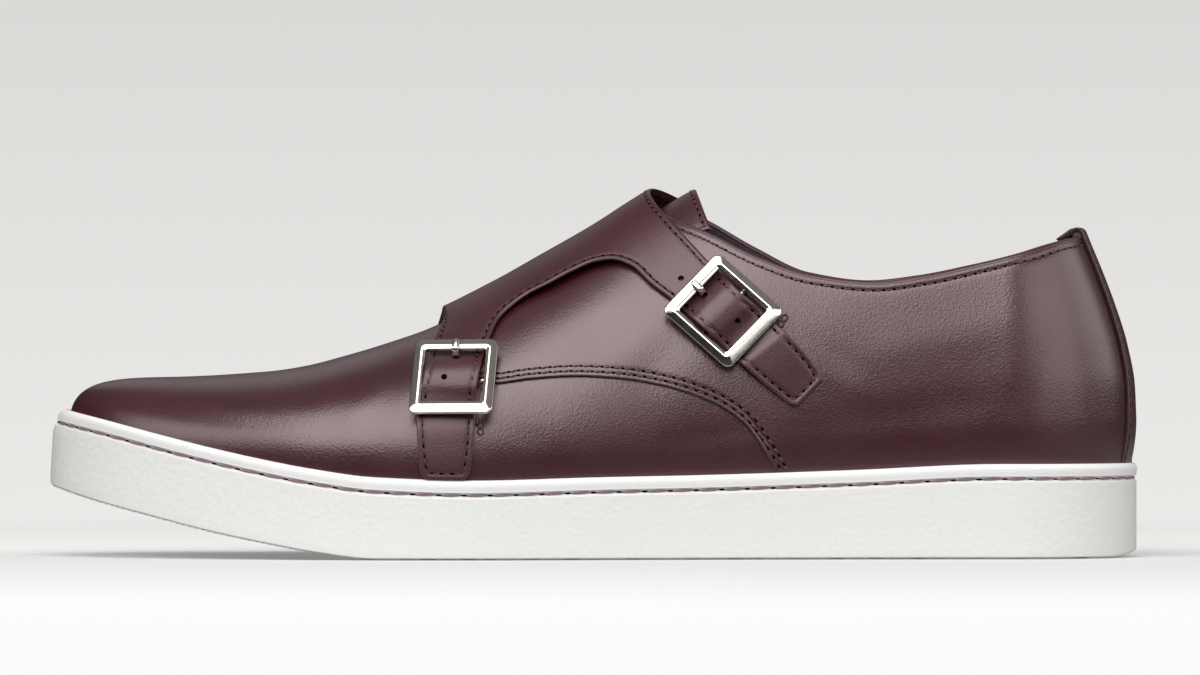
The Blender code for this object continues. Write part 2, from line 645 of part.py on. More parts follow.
def make_heel_strip():
    """The strip that covers the seam up the heel's back and stands a little above the collar."""
    z = np.linspace(STRIP_LOW, STRIP_TOP, 13)[:, None]
    y = read(STRIP, "half", z, by="z") * np.linspace(-1, 1, 9)[None, :]
    x0 = np.full(1, HEEL_START)
    turn = np.abs(turn_at(x0, np.maximum(z, LAST["widest"][-1]), MEDIAL))
    reach = np.sin(turn) ** (2 / LAST["crown"][-1])
    half = np.where(y < 0, LAST["lateral"][-1], LAST["medial"][-1]) - UPPER_INSET
    depth = LAST["widest"][-1] - SOLE["floor"][-1]
    tuck = TUCK * depth * (np.clip(LAST["widest"][-1] - z, 0, None) / depth) ** 2
    behind = UPPER_BACK - HEEL_START + read(BACK, "lean", z, by="z") - tuck
    out = closing(np.abs(y) / (half * reach - tuck), HEEL_ROUND)
    x = HEEL_START + behind * out + 0 * y
    base = np.stack([x, y, z + 0 * y], axis=-1)
    across = np.gradient(base, axis=1)
    upward = np.gradient(base, axis=0)
    normal = np.cross(across, upward)
    normal /= np.linalg.norm(normal, axis=-1, keepdims=True)
    return patch("heel_strip", base + (GAP + STRIP_THICK) * normal, STRIP_THICK, LEATHER, 0.45)


def make_keeper(name):
    """The leather tab under the strap's tail that ties the buckle's bar to the quarter."""
    middle, across, up, _ = buckle_seat(name)
    along = np.linspace(*KEEPER_RUN, 6)[:, None]
    aside = np.linspace(-KEEPER_HALF, KEEPER_HALF, 6)[None, :]
    target = middle + along[..., None] * up + aside[..., None] * across
    rise = GAP + KEEPER_THICK
    at, turn = place(target[..., 0], target[..., 2], LATERAL, np.full(target.shape[:2], rise))
    points = lifted(at, turn, np.full(at.shape, rise))[:, ::-1]
    return patch("keeper_" + name, points, KEEPER_THICK, LEATHER, 0.5)


def rounded_rectangle(curve, long, wide, radius):
    """A closed flat outline, wide along X and long along Y, with round corners."""
    quarter = np.linspace(0, np.pi / 2, 5)
    points = []
    for turn, (sx, sy) in enumerate(((1, 1), (-1, 1), (-1, -1), (1, -1))):
        angle = quarter + turn * np.pi / 2
        centre = (sx * (wide / 2 - radius), sy * (long / 2 - radius))
        points += [(centre[0] + radius * np.cos(a), centre[1] + radius * np.sin(a)) for a in angle]
    spline = curve.splines.new("POLY")
    spline.points.add(len(points) - 1)
    for point, (x, y) in zip(spline.points, points):
        point.co = (x * MM, y * MM, 0, 1)
    spline.use_cyclic_u = True


def mesh_from_curve(curve):
    """A curve's solid as a mesh, with its caps welded on."""
    guide = bpy.data.objects.new(curve.name, curve)
    cutters.objects.link(guide)
    bpy.context.view_layer.update()
    mesh = bpy.data.meshes.new_from_object(guide.evaluated_get(bpy.context.evaluated_depsgraph_get()))
    bpy.data.objects.remove(guide)
    work = bmesh.new()
    work.from_mesh(mesh)
    bmesh.ops.remove_doubles(work, verts=work.verts, dist=0.01 * MM)
    work.to_mesh(mesh)
    work.free()
    return mesh


def make_buckle_frame(name):
    """A flat frame with round corners, and its bar on two posts below the sides."""
    curve = bpy.data.curves.new("frame_outline_" + name, "CURVE")
    curve.dimensions = "2D"
    curve.fill_mode = "BOTH"
    curve.extrude = FRAME_THICK / 2 * MM
    rounded_rectangle(curve, BUCKLE_LONG, BUCKLE_WIDE, BUCKLE_CORNER)
    rounded_rectangle(curve, WINDOW_LONG, WINDOW_WIDE, WINDOW_CORNER)
    frame = finish(f"buckle_{name}_frame", mesh_from_curve(curve), NICKEL, 0.2, metallic=1)
    frame.matrix_world = buckle_matrix(name, FRAME_RISE + FRAME_THICK / 2)
    seat = buckle_matrix(name, 0)
    post_x = (BUCKLE_WIDE + WINDOW_WIDE) / 4
    helpers = []
    bpy.ops.mesh.primitive_cylinder_add(vertices=12, radius=BAR_RADIUS * MM, depth=2 * post_x * MM)
    bar = bpy.context.object
    bar.matrix_world = seat @ Matrix.Translation((0, 0, BAR_RISE * MM)) @ Matrix.Rotation(np.pi / 2, 4, "Y")
    helpers.append(bar)
    for side in (-1, 1):
        bpy.ops.mesh.primitive_cube_add(size=1)
        post = bpy.context.object
        low, high = BAR_RISE - BAR_RADIUS, FRAME_RISE + FRAME_THICK / 2
        size = Matrix.Diagonal((POST_WIDE * MM, POST_LONG * MM, (high - low) * MM, 1))
        post.matrix_world = seat @ Matrix.Translation((side * post_x * MM, 0, (low + high) / 2 * MM)) @ size
        helpers.append(post)
    for number, helper in enumerate(helpers):
        helper.name = f"{name}_bar_{number}"
        move_to(helper, cutters)
        helper.hide_render = True
        helper.display_type = "WIRE"
        join = frame.modifiers.new("Join", "BOOLEAN")
        join.operation = "UNION"
        join.object = helper
    return frame


def make_prong(name):
    """A round wire that hooks over the bar, runs under the strap, and comes through it over the frame."""
    wrap = BAR_RADIUS + GAP + PRONG_RADIUS
    around = np.linspace(np.radians(200), np.radians(70), 6)
    hook = np.stack([wrap * np.cos(around), BAR_RISE + wrap * np.sin(around)], axis=1)
    run = np.concatenate([hook, PRONG_RUN])
    curve = bpy.data.curves.new("prong_path_" + name, "CURVE")
    curve.dimensions = "3D"
    curve.bevel_depth = PRONG_RADIUS * MM
    curve.bevel_resolution = 2
    curve.use_fill_caps = True
    spline = curve.splines.new("POLY")
    spline.points.add(len(run) - 1)
    for point, (along, height) in zip(spline.points, run):
        point.co = (0, along * MM, height * MM, 1)
    prong = finish(f"buckle_{name}_prong", mesh_from_curve(curve), NICKEL, 0.2, metallic=1)
    prong.matrix_world = buckle_matrix(name, 0)
    return prong


for old in list(bpy.data.objects):
    bpy.data.objects.remove(old)
shoe = bpy.data.collections.new("monk_strap_sneaker")
cutters = bpy.data.collections.new("cutters")
bpy.context.scene.collection.children.link(shoe)
bpy.context.scene.collection.children.link(cutters)

make_cup_sole()
make_outsole()
make_insole()
make_upper()
make_tongue()
make_strap_flap()
make_heel_strip()
for buckle in BUCKLES:
    make_keeper(buckle)
    make_buckle_frame(buckle)
    make_prong(buckle)
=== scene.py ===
# %% [markdown]
# # A double monk strap sneaker, left shoe
#
# The real object is a low sneaker with an oxblood calf upper on a moulded white rubber cup sole. A wide
# flap crosses the instep and ends in two straps, and each strap runs through a polished nickel buckle on
# the outer side of the foot.
#
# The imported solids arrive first. They are the fixed frame: every visible piece below is worked out
# again from the same last, at a finer spacing, and stands in for one of them.

import bmesh
import bpy
import numpy as np
from mathutils import Matrix


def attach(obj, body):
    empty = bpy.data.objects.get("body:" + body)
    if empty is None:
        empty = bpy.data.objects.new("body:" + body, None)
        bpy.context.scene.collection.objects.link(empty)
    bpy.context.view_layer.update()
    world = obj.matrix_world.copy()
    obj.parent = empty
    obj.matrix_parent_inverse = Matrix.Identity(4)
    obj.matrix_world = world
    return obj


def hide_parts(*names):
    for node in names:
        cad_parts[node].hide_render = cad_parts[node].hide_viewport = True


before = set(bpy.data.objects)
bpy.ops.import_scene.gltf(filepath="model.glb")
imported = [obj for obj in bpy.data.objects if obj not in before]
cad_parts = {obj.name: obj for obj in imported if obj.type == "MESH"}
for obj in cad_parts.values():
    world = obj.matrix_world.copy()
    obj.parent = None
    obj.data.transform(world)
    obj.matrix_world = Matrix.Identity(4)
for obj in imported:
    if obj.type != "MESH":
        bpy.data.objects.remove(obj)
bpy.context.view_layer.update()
MM = 0.001

# %% [markdown]
# ## Small tools
#
# A few helpers do all the repeated work. `linear` turns a colour as a designer writes it, an sRGB hex
# value, into the linear numbers that a shader needs. `node` adds one shader node with its settings and
# links, and `mix`, `ramp` and `noise` are its three most usual kinds. `table` and `smooth` hold measured
# shapes: a short table of named columns, and a curve through its points that never overshoots them, so
# that a shoe's outline stays as calm as its numbers.

# %% Colours, nodes and tables
def linear(code):
    """The linear colour of an sRGB hex code: each channel c becomes ((c + 0.055) / 1.055) ^ 2.4."""
    srgb = np.array([int(code[start:start + 2], 16) for start in (1, 3, 5)]) / 255
    toe = srgb / 12.92
    return (*np.where(srgb <= 0.04045, toe, ((srgb + 0.055) / 1.055) ** 2.4).tolist(), 1.0)


def node(tree, kind, inputs=(), **settings):
    """One node: settings are its own choices, and inputs gives each socket a value or another's output."""
    made = tree.nodes.new("ShaderNode" + kind)
    for name, value in settings.items():
        setattr(made, name, value)
    for name, value in dict(inputs).items():
        if isinstance(value, bpy.types.NodeSocket):
            tree.links.new(value, made.inputs[name])
        else:
            made.inputs[name].default_value = value
    return made


def mix(tree, share, first, second):
    """A blend of two colours, each an sRGB hex code or another node's output."""
    first, second = (linear(c) if isinstance(c, str) else c for c in (first, second))
    return node(tree, "MixRGB", {"Fac": share, "Color1": first, "Color2": second}).outputs["Color"]


def ramp(tree, value, start, end, low=0.0, high=1.0, kind="LINEAR"):
    """A value carried from the range start to end into the range low to high, and held at both."""
    limits = {"From Min": start, "From Max": end, "To Min": low, "To Max": high}
    return node(tree, "MapRange", {"Value": value, **limits}, interpolation_type=kind).outputs["Result"]


def noise(tree, where, size, detail=3.0, output="Fac"):
    """Soft random clouds of this size in mm."""
    inputs = {"Vector": where, "Scale": 1 / (size * MM), "Detail": detail}
    return node(tree, "TexNoise", inputs).outputs[output]


def in_scene(name, data):
    """A new object that shows this mesh, lamp or camera."""
    made = bpy.data.objects.new(name, data)
    bpy.context.scene.collection.objects.link(made)
    return made


def table(names, rows):
    """The columns of a table by name, from its rows."""
    return dict(zip(names.split(), np.array(rows, float).T))


def smooth(x, xs, ys):
    """A curve through a table's points by monotone cubics: its slope at a point is the weighted harmonic
    mean of the slopes beside it, or zero at a peak, so it never passes beyond the points."""
    width = np.diff(xs)
    slope = np.diff(ys) / width
    left, right = slope[:-1], slope[1:]
    same = left * right > 0
    tangent = np.zeros(len(xs))
    weight_left = 2 * width[1:] + width[:-1]
    weight_right = width[1:] + 2 * width[:-1]
    safe_left = np.where(same, left, 1)
    safe_right = np.where(same, right, 1)
    mean = (weight_left + weight_right) / (weight_left / safe_left + weight_right / safe_right)
    tangent[1:-1] = np.where(same, mean, 0)
    tangent[0], tangent[-1] = slope[0], slope[-1]
    x = np.clip(x, xs[0], xs[-1])
    cell = np.clip(np.searchsorted(xs, x, side="right") - 1, 0, len(width) - 1)
    t = (x - xs[cell]) / width[cell]
    return (
        ys[cell] * (1 + 2 * t) * (1 - t) ** 2
        + tangent[cell] * width[cell] * t * (1 - t) ** 2
        + ys[cell + 1] * t**2 * (3 - 2 * t)
        - tangent[cell + 1] * width[cell] * t**2 * (1 - t)
    )


def read(source, name, x, by="x"):
    """A table's column at any place along it."""
    return smooth(np.asarray(x, float), source[by], source[name])


def ease(share):
    """0 to 1 with a flat start and end: 3 s^2 - 2 s^3."""
    share = np.clip(share, 0, 1)
    return share**2 * (3 - 2 * share)


def bell(distance, at, half):
    """1 at a distance, and falling away on both sides of it: exp(-((d - at) / half)^2)."""
    return np.exp(-(((distance - at) / half) ** 2))


def unit(vectors):
    return vectors / np.maximum(np.linalg.norm(vectors, axis=-1, keepdims=True), 1e-9)


def run_of(line):
    """Distance along a line of points from its start, or along each column of a grid."""
    steps = np.linalg.norm(np.diff(line, axis=0), axis=-1)
    return np.concatenate([np.zeros((1, *steps.shape[1:])), np.cumsum(steps, axis=0)])


# %% [markdown]
# ## The last
#
# A last is the foot-shaped form that a shoe is pulled over, and all of this shoe's leather follows it.
# It could be sculpted, but a formula keeps every panel, seam and stitch in one agreement. Each section
# across the foot is a superellipse, from the ridge down to its widest line, and below that the side
# draws in to the cup's floor. A point of the leather is named by x, its place along the foot, and by
# turn, its angle round the section. `lifted` moves it off the face, and `place` goes backwards, from
# where a point is seen from the side to its x and turn. All tables are in millimetres.

# %% The last's tables
SOLE_TIP, SOLE_BACK = -149.7, 150.0
UPPER_TIP, UPPER_BACK = -144.6, 148.5
TOE_START, HEEL_START = -78.0, 112.0  # the outline closes in front of one and behind the other
TOE_ROUND, HEEL_ROUND = 2.05, 2.1
UPPER_INSET = 2.4  # from the sole's edge, along the sides
TUCK = 0.25  # how far the side draws in below its widest line, as a share of that depth
FOOT_TURN = 1.0  # turn from the widest line down to the cup's floor
TOE_CAP_START, TOE_CAP_ROUND = -112.0, 4.0
VAMP_POINT, THROAT_END, THROAT_HALF = -33.0, 17.0, 13.0
LATERAL, MEDIAL = -1, 1
AIM_ROUNDS, EDGE_ROUNDS = 8, 4  # how often a place, and the collar's edge, are worked out again

# centre: the ridge line. lateral, medial: from there to the sole's edge, before the toe and heel close.
# widest: height of the widest line. crown, flank: the section's roundness at its top and side.
LAST = table(
    "x centre lateral medial widest crown flank",
    (
        (-150, 8.0, 44.0, 44.0, 31, 2.30, 2.50),
        (-118, 5.5, 45.5, 44.0, 29, 2.30, 2.50),
        (-95, 4.0, 48.0, 45.0, 28, 2.25, 2.40),
        (-62, 2.0, 52.0, 48.5, 27, 2.15, 2.20),
        (-40, 1.0, 52.5, 48.5, 27, 2.05, 2.05),
        (-10, 0.5, 49.5, 42.5, 29, 1.95, 1.85),
        (20, 0.2, 45.2, 37.0, 31, 1.94, 1.80),
        (50, 0.0, 41.5, 35.5, 33, 1.94, 1.80),
        (80, 0.0, 39.0, 36.5, 36, 1.94, 1.80),
        (112, 0.0, 38.0, 37.5, 38, 1.94, 1.80),
        (150, 0.0, 38.0, 37.5, 38, 1.94, 1.80),
    ),
)
# The ridge over the vamp and instep. Over the collar it is the top of the leg's cone.
RIDGE = table(
    "x z",
    (
        (-150, 49.2), (-119, 49.4), (-89, 51.0), (-80, 52.3), (-67, 55.6), (-47, 62.1), (-25, 72.6),
        (-12, 79.9), (2, 87.9), (14, 95.6), (30, 105.0), (55, 114.0), (85, 123.0), (112, 125.0), (150, 125.0),
    ),
)
# The collar's edge on each side.
TOPLINE = table(
    "x lateral medial",
    (
        (12, 97.5, 99.0), (21, 92.5, 96.5), (31, 88.3, 92.4), (45, 81.4, 84.6), (60, 76.4, 77.7),
        (77, 74.6, 75.4), (91, 76.4, 76.9), (105, 79.5, 79.7), (118, 82.8, 82.8), (129, 86.2, 86.1),
        (138, 88.1, 88.1),
    ),
)
# How far the heel's back leans forward at each height.
BACK = table("z lean", ((38, 0), (47, -0.4), (58, -2.4), (69, -5.8), (78, -9.2), (86, -12.5), (125, -28)))
# base: the tread's underside. lip: the sidewall's top. floor: what the insole lies on.
SOLE = table(
    "x base lip floor",
    (
        (-150, 19.6, 41.6, 27.6), (-134, 14.9, 38.0, 22.9), (-119, 11.1, 34.2, 19.0), (-104, 7.4, 30.5, 15.4),
        (-89, 4.3, 27.2, 12.3), (-75, 1.8, 24.6, 10.2), (-59, 0, 22.5, 8.8), (-31, 0, 21.6, 9.2),
        (0, 0, 22.4, 10.8), (30, 0, 23.0, 12.2), (71, 0, 24.3, 13.6), (111, 0, 25.9, 14.0),
        (142, 0, 25.9, 14.0), (150, 1.5, 25.9, 14.0),
    ),
)


# %% The last's functions
def closing(share, power):
    """From 1 at share 0 down to 0 at share 1, as a superellipse's quarter: (1 - s^p)^(1/p)."""
    return (1 - np.clip(share, 0, 1) ** power) ** (1 / power)


def half_width(x, side, tip, back, inset):
    """From the ridge line to an outline on one side: the table's width less the inset, times how far the
    toe and the heel have closed there."""
    full = np.where(side < 0, read(LAST, "lateral", x), read(LAST, "medial", x)) - inset
    toe = closing((TOE_START - x) / (TOE_START - tip), TOE_ROUND)
    heel = closing((x - HEEL_START) / (back - HEEL_START), HEEL_ROUND)
    return full * toe * heel


def ridge(x):
    """Height of the ridge, dropping to the widest line at the toe."""
    widest = read(LAST, "widest", x)
    drop = closing((TOE_CAP_START - x) / (TOE_CAP_START - UPPER_TIP), TOE_CAP_ROUND)
    return widest + (read(RIDGE, "z", x) - widest) * drop


def heel_share(x):
    """0 up to where the heel starts, 1 at its back."""
    return np.clip((x - HEEL_START) / (UPPER_BACK - HEEL_START), 0, 1)


def surface(x, turn):
    """Points of the upper's face. Width grows as sin(turn)^(2/crown) and height falls as
    cos(turn)^(2/flank). Past a quarter turn the side draws in as a parabola down to the cup's floor."""
    x, turn = np.broadcast_arrays(np.asarray(x, float), np.asarray(turn, float))
    side = np.where(turn < 0, LATERAL, MEDIAL)
    widest = read(LAST, "widest", x)
    depth = widest - read(SOLE, "floor", x)
    above = np.minimum(np.abs(turn), np.pi / 2)
    below = np.maximum(np.abs(turn) - np.pi / 2, 0) / FOOT_TURN
    rise = np.cos(above) ** (2 / read(LAST, "flank", x))
    reach = np.sin(above) ** (2 / read(LAST, "crown", x))
    half = half_width(x, side, UPPER_TIP, UPPER_BACK, UPPER_INSET)
    z = widest + (ridge(x) - widest) * rise - depth * below
    y = read(LAST, "centre", x) + side * (half * reach - TUCK * depth * below**2)
    return np.stack([x + read(BACK, "lean", z, by="z") * heel_share(x), y, z], axis=-1)


def normal_at(x, turn):
    """The face's outward direction: the cross product of a small step along it and one round it."""
    step = 0.02
    along = surface(x + step, turn) - surface(x - step, turn)
    across = surface(x, turn + step) - surface(x, turn - step)
    return unit(np.cross(along, across))


def lifted(x, turn, rise):
    """Points moved off the face by rise, along its normal."""
    return surface(x, turn) + np.asarray(rise, float)[..., None] * normal_at(x, turn)


def turn_at(x, z, side):
    """The turn at which a section passes a height."""
    widest = read(LAST, "widest", x)
    share = np.clip((z - widest) / np.maximum(ridge(x) - widest, 0.3), 0, 1)
    below = np.maximum(widest - z, 0) / (widest - read(SOLE, "floor", x))
    return side * (np.arccos(share ** (read(LAST, "flank", x) / 2)) + FOOT_TURN * below)


def place(x, z, side, rise):
    """(x, turn) of the point that is seen at x, z from the side once it is lifted, by aiming, looking how
    far off the point lands, and aiming again."""
    x, z = np.broadcast_arrays(np.asarray(x, float), np.asarray(z, float))
    aim_x, aim_z = x.copy(), z.copy()
    for _ in range(AIM_ROUNDS):
        lean = read(BACK, "lean", aim_z, by="z") / (UPPER_BACK - HEEL_START)
        behind = aim_x > HEEL_START
        at = np.where(behind, (aim_x + lean * HEEL_START) / (1 + lean), aim_x)
        turn = turn_at(at, aim_z, side)
        found = lifted(at, turn, rise)
        aim_x = aim_x + x - found[..., 0]
        aim_z = aim_z + z - found[..., 2]
    return at, turn


def stations(tip, back, toe, foot, heel):
    """Places along the foot, closer together round the toe and the heel as the sine closes them up."""
    last_angle = np.pi / 2 - 0.002  # just short of the tip, where the two sides would meet
    front = TOE_START - (TOE_START - tip) * np.sin(np.linspace(last_angle, 0, toe + 1))
    middle = np.linspace(TOE_START, HEEL_START, foot + 1)
    rear = HEEL_START + (back - HEEL_START) * np.sin(np.linspace(0, last_angle, heel + 1))
    return np.concatenate([front, middle[1:], rear[1:]])


def heel_stations(count):
    """The places round the heel alone."""
    return stations(UPPER_TIP, UPPER_BACK, 1, 1, count)[-count:]


def throat_turn(x, side):
    """Where the upper's leather ends: at the ridge in front, then along the throat, then at the collar."""
    open_share = np.clip((x - VAMP_POINT) / (THROAT_END - VAMP_POINT), 0, 1)
    half = half_width(x, side, UPPER_TIP, UPPER_BACK, UPPER_INSET)
    slot = np.clip(THROAT_HALF * open_share**0.8 / np.maximum(half, 1), 0, 1)
    throat = np.where(x < HEEL_START, np.arcsin(slot ** (read(LAST, "crown", x) / 2)), 0)
    seen = np.array(x, float)
    for _ in range(EDGE_ROUNDS):
        edge = read(TOPLINE, "lateral" if side < 0 else "medial", seen)
        seen = x + read(BACK, "lean", edge, by="z") * heel_share(x)
    collar = np.where(x > TOPLINE["x"][0], np.abs(turn_at(x, edge, MEDIAL)), 0)
    return np.maximum(throat, collar)


print("ridge at the flap's front:", round(float(ridge(np.array(-39.5))), 1), "mm high")

# %% [markdown]
# ## From grids of points to leather
#
# A cut panel of leather is a sheet with two faces and an edge between them. For the quarters both faces
# are worked out on the last, so the inner one lies true on what is below it, and `sheet` joins the two
# grids with a rounded rim. The other panels are single grids that take their wall from a modifier. A body
# is a list of points in millimetres and a list of faces, and `make_piece` puts one or more of them in one
# mesh, gives it its finish, and ties it to the frame.

# %% Mesh helpers
def quads(index):
    """The faces of a grid of point numbers, each a loop of four neighbours."""
    return np.stack([index[:-1, :-1], index[:-1, 1:], index[1:, 1:], index[1:, :-1]], axis=-1).reshape(-1, 4)


def grid_index(rows, columns):
    return np.arange(rows * columns).reshape(rows, columns)


def open_body(grid):
    """A grid of points as a body without thickness."""
    return grid.reshape(-1, 3), quads(grid_index(*grid.shape[:2]))


def looped(rows):
    """Rows of anything with the first again at the end."""
    return np.concatenate([rows, rows[:1]])


def wrapped(index):
    """A grid of point numbers with its first column again at its end, to close a body round."""
    return np.concatenate([index, index[:, :1]], axis=1)


def rim_loop(index):
    """A grid's edge as one loop of point numbers."""
    return np.concatenate([index[0], index[1:, -1], index[-1, -2::-1], index[-2:0:-1, 0]])


RIM_SHARES = (0.16, 0.5, 0.84)  # where the rim's own points lie across the wall


def sheet(outer, inner, round_rim):
    """A closed body from an outer and an inner grid. Between them the rim bulges out by this share of the
    wall, as sin(pi t) across it."""
    rows, columns = outer.shape[:2]
    face = grid_index(rows, columns)
    count = rows * columns
    loop = rim_loop(face)
    flat_outer, flat_inner = outer.reshape(-1, 3), inner.reshape(-1, 3)
    inward = outer.copy()
    inward[0], inward[-1] = outer[1], outer[-2]
    inward[1:-1, 0], inward[1:-1, -1] = outer[1:-1, 1], outer[1:-1, -2]
    out = unit(flat_outer[loop] - inward.reshape(-1, 3)[loop])
    wall = np.linalg.norm(flat_outer[loop] - flat_inner[loop], axis=1, keepdims=True)
    rim = [
        flat_outer[loop] * (1 - t) + flat_inner[loop] * t + out * wall * round_rim * np.sin(np.pi * t)
        for t in RIM_SHARES
    ]
    steps = [2 * count + k * len(loop) + np.arange(len(loop)) for k in range(len(rim))]
    ladder = wrapped(np.stack([loop, *steps, loop + count]))
    points = np.concatenate([flat_outer, flat_inner, *rim])
    faces = np.concatenate([quads(face)[:, ::-1], quads(face + count), quads(ladder)])
    return points, faces


def around(loop):
    """The direction along a closed loop at each of its points."""
    return unit(np.roll(loop, -1, axis=0) - np.roll(loop, 1, axis=0))


def tube(path, radius, sides=10, closed=False, guide=(0, 0, 1)):
    """A round cord along a path: a circle set square to it at each point and turned by the guide's
    direction, with caps at open ends."""
    path = np.asarray(path, float)
    ahead = around(path) if closed else unit(np.gradient(path, axis=0))
    first = unit(np.cross(ahead, np.broadcast_to(np.asarray(guide, float), ahead.shape)))
    second = np.cross(ahead, first)
    angle = np.linspace(0, 2 * np.pi, sides, endpoint=False)
    radius = np.broadcast_to(np.asarray(radius, float), (len(path),))
    ring = np.cos(angle)[None, :, None] * first[:, None] + np.sin(angle)[None, :, None] * second[:, None]
    points = (path[:, None] + radius[:, None, None] * ring).reshape(-1, 3)
    index = wrapped(grid_index(len(path), sides))
    if closed:
        return points, quads(looped(index))[:, ::-1]
    ends = np.stack([path[0], path[-1]])
    hub = len(points)
    caps = []
    for row, middle, flip in ((index[0], hub, False), (index[-1], hub + 1, True)):
        fan = np.stack([np.full(sides, middle), row[:-1], row[1:], row[1:]], axis=1)
        caps.append(fan[:, [0, 2, 1, 1]] if flip else fan)
    return np.concatenate([points, ends]), np.concatenate([quads(index)[:, ::-1], *caps])


def joined(bodies):
    """Several bodies as one list of points and one of faces."""
    starts = np.cumsum([0] + [len(points) for points, _ in bodies])
    faces = [faces + start for (_, faces), start in zip(bodies, starts)]
    return np.concatenate([points for points, _ in bodies]), np.concatenate(faces)


def faced_out(points, faces):
    """The same faces, all turned if they enclose a negative volume about their own middle."""
    corners = (points - points.mean(axis=0))[faces]
    volume = np.einsum("ij,ij->i", corners[:, 0], np.cross(corners[:, 1], corners[:, 2])).sum()
    volume += np.einsum("ij,ij->i", corners[:, 0], np.cross(corners[:, 2], corners[:, 3])).sum()
    if volume >= 0:
        return points, faces
    turned = faces[:, ::-1].copy()
    fans = faces[:, 2] == faces[:, 3]
    turned[fans] = faces[fans][:, [0, 2, 1, 1]]
    return points, turned


def set_field(mesh, name, values):
    """A number of its own for each point, which a finish can read."""
    layer = mesh.attributes.new(name, "FLOAT", "POINT")
    layer.data.foreach_set("value", np.asarray(values, np.float32))


SHARP = 0.9  # the angle between two faces, in radians, from which their edge is kept sharp


def make_mesh(name, bodies, weld=0.0, fields=None, sharp=SHARP):
    """A mesh in metres from bodies in millimetres, with smooth shading and its sharpest creases kept."""
    points, faces = joined([faced_out(*body) for body in bodies])
    mesh = bpy.data.meshes.new(name)
    fans = faces[:, 2] == faces[:, 3]
    mesh.from_pydata((points * MM).tolist(), [], faces[~fans].tolist() + faces[fans][:, :3].tolist())
    for field, values in (fields or {}).items():
        set_field(mesh, field, values)
    if weld:
        work = bmesh.new()
        work.from_mesh(mesh)
        bmesh.ops.remove_doubles(work, verts=work.verts, dist=weld * MM)
        work.to_mesh(mesh)
        work.free()
    mesh.shade_smooth()
    mesh.set_sharp_from_angle(angle=sharp)
    return mesh


def make_piece(name, shape, finish, stands_for="", slot="oxblood_leather", wall=0.0, **options):
    """One named object at the origin, from a mesh or from bodies: its finish, a wall on its inner side if
    it is an open sheet, and what it rides on and stands for. The slot argument is not used."""
    mesh = shape if isinstance(shape, bpy.types.Mesh) else make_mesh(name, shape, **options)
    mesh.materials.append(finish)
    piece = in_scene(name, mesh)
    if wall:
        inner = piece.modifiers.new("Wall", "SOLIDIFY")
        inner.thickness = wall * MM
        inner.offset = -1
    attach(piece, "root")
    if stands_for:
        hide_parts(*stands_for.split())
    return piece


FILL_SAMPLES = 120


def fill(path, distances_low, distances_high, middle):
    """Rows of (x, turn) between two edges. path(share) gives the line of each column; the rows sit at
    these distances over the leather from its two ends, and evenly between. Also gives both distances."""
    share = np.linspace(0, 1, FILL_SAMPLES)[:, None]
    run = run_of(surface(*path(share)))
    total = run[-1]
    low = np.array(distances_low, float)[:, None] + 0 * total
    high = total - np.array(distances_high[::-1], float)[:, None]
    between = low[-1] + (high[0] - low[-1]) * np.linspace(0, 1, middle + 2)[1:-1, None]
    wanted = np.concatenate([low, between, high])
    share = np.stack([np.interp(w, r, share[:, 0]) for w, r in zip(wanted.T, run.T)], axis=1)
    x, turn = path(share)
    return x, turn, wanted, total - wanted


def along_columns(points):
    """Distance over the leather from the first column and from the last."""
    run = run_of(points.swapaxes(0, 1)).T
    return run, run[:, -1:] - run


def rolled(distance, width, depth):
    """How far a folded edge drops: a quarter circle that starts `width` from the edge."""
    share = np.clip(1 - distance / width, 0, 1)
    return -depth * (1 - np.sqrt(1 - share**2))


def channel(distance, at, depth, half=0.5):
    """The small valley that a row of stitches pulls: a bell curve round its distance from the edge."""
    return -depth * bell(distance, at, half)


# How far the rows near an edge lie from it: close together where the leather rolls over and is stitched.
EDGE_STEPS = (0, 0.12, 0.3, 0.55, 0.85, 1.1, 1.35, 1.6, 1.9, 2.25, 2.6, 2.95, 3.3, 3.8, 4.5)
print("rows near an edge:", len(EDGE_STEPS))

# %% [markdown]
# ## Camera, floor and studio light
#
# The shoe stands on a pale floor, seen level from its outer side through a long lens, so that the outline
# stays as true as a drawing. A tall softbox hangs above and in front of the shoe. Polished calf shows
# such a light as a broad pale band along every side that leans back, and stays dark where it stands
# upright, which is what describes its form. Three fills carry that band on round the toe and the heel, one
# lamp behind lights the far edges, and the room adds a soft glow from the ceiling. The floor fades out
# into the backdrop.

# %% Camera
def point_at(thing, target):
    """Turns a camera or a lamp to look at a point, with its top up."""
    line = np.array(target) - np.array(thing.location)
    ahead = unit(line)
    right = unit(np.cross(ahead, (0, 0, 1)))
    turned = np.column_stack([right, np.cross(right, ahead), -ahead])
    thing.rotation_euler = Matrix(turned.tolist()).to_euler()


CAMERA_PLACE = (0.0022, -2.5, 0.058)
CAMERA_AIM = (0.0022, 0.0, 0.0603)
FIELD_WIDE = 0.3308  # metres across the picture at the shoe's middle
SENSOR = 36.0

camera = in_scene("camera", bpy.data.cameras.new("camera"))
camera.location = CAMERA_PLACE
camera.data.sensor_width = SENSOR
camera.data.lens = SENSOR * -CAMERA_PLACE[1] / FIELD_WIDE
camera.data.clip_start, camera.data.clip_end = 0.1, 20
point_at(camera, CAMERA_AIM)
bpy.context.scene.camera = camera
bpy.context.scene.view_settings.view_transform = "Standard"
print("lens:", round(camera.data.lens), "mm")

# %% Floor
FLOOR_RADIUS, FLOOR_SOLID = 0.62, 0.30  # it is whole up to the second, and fades out by the first
FLOOR_GLOW = 0.33  # the share of its brightness that is its own, as on a lit table

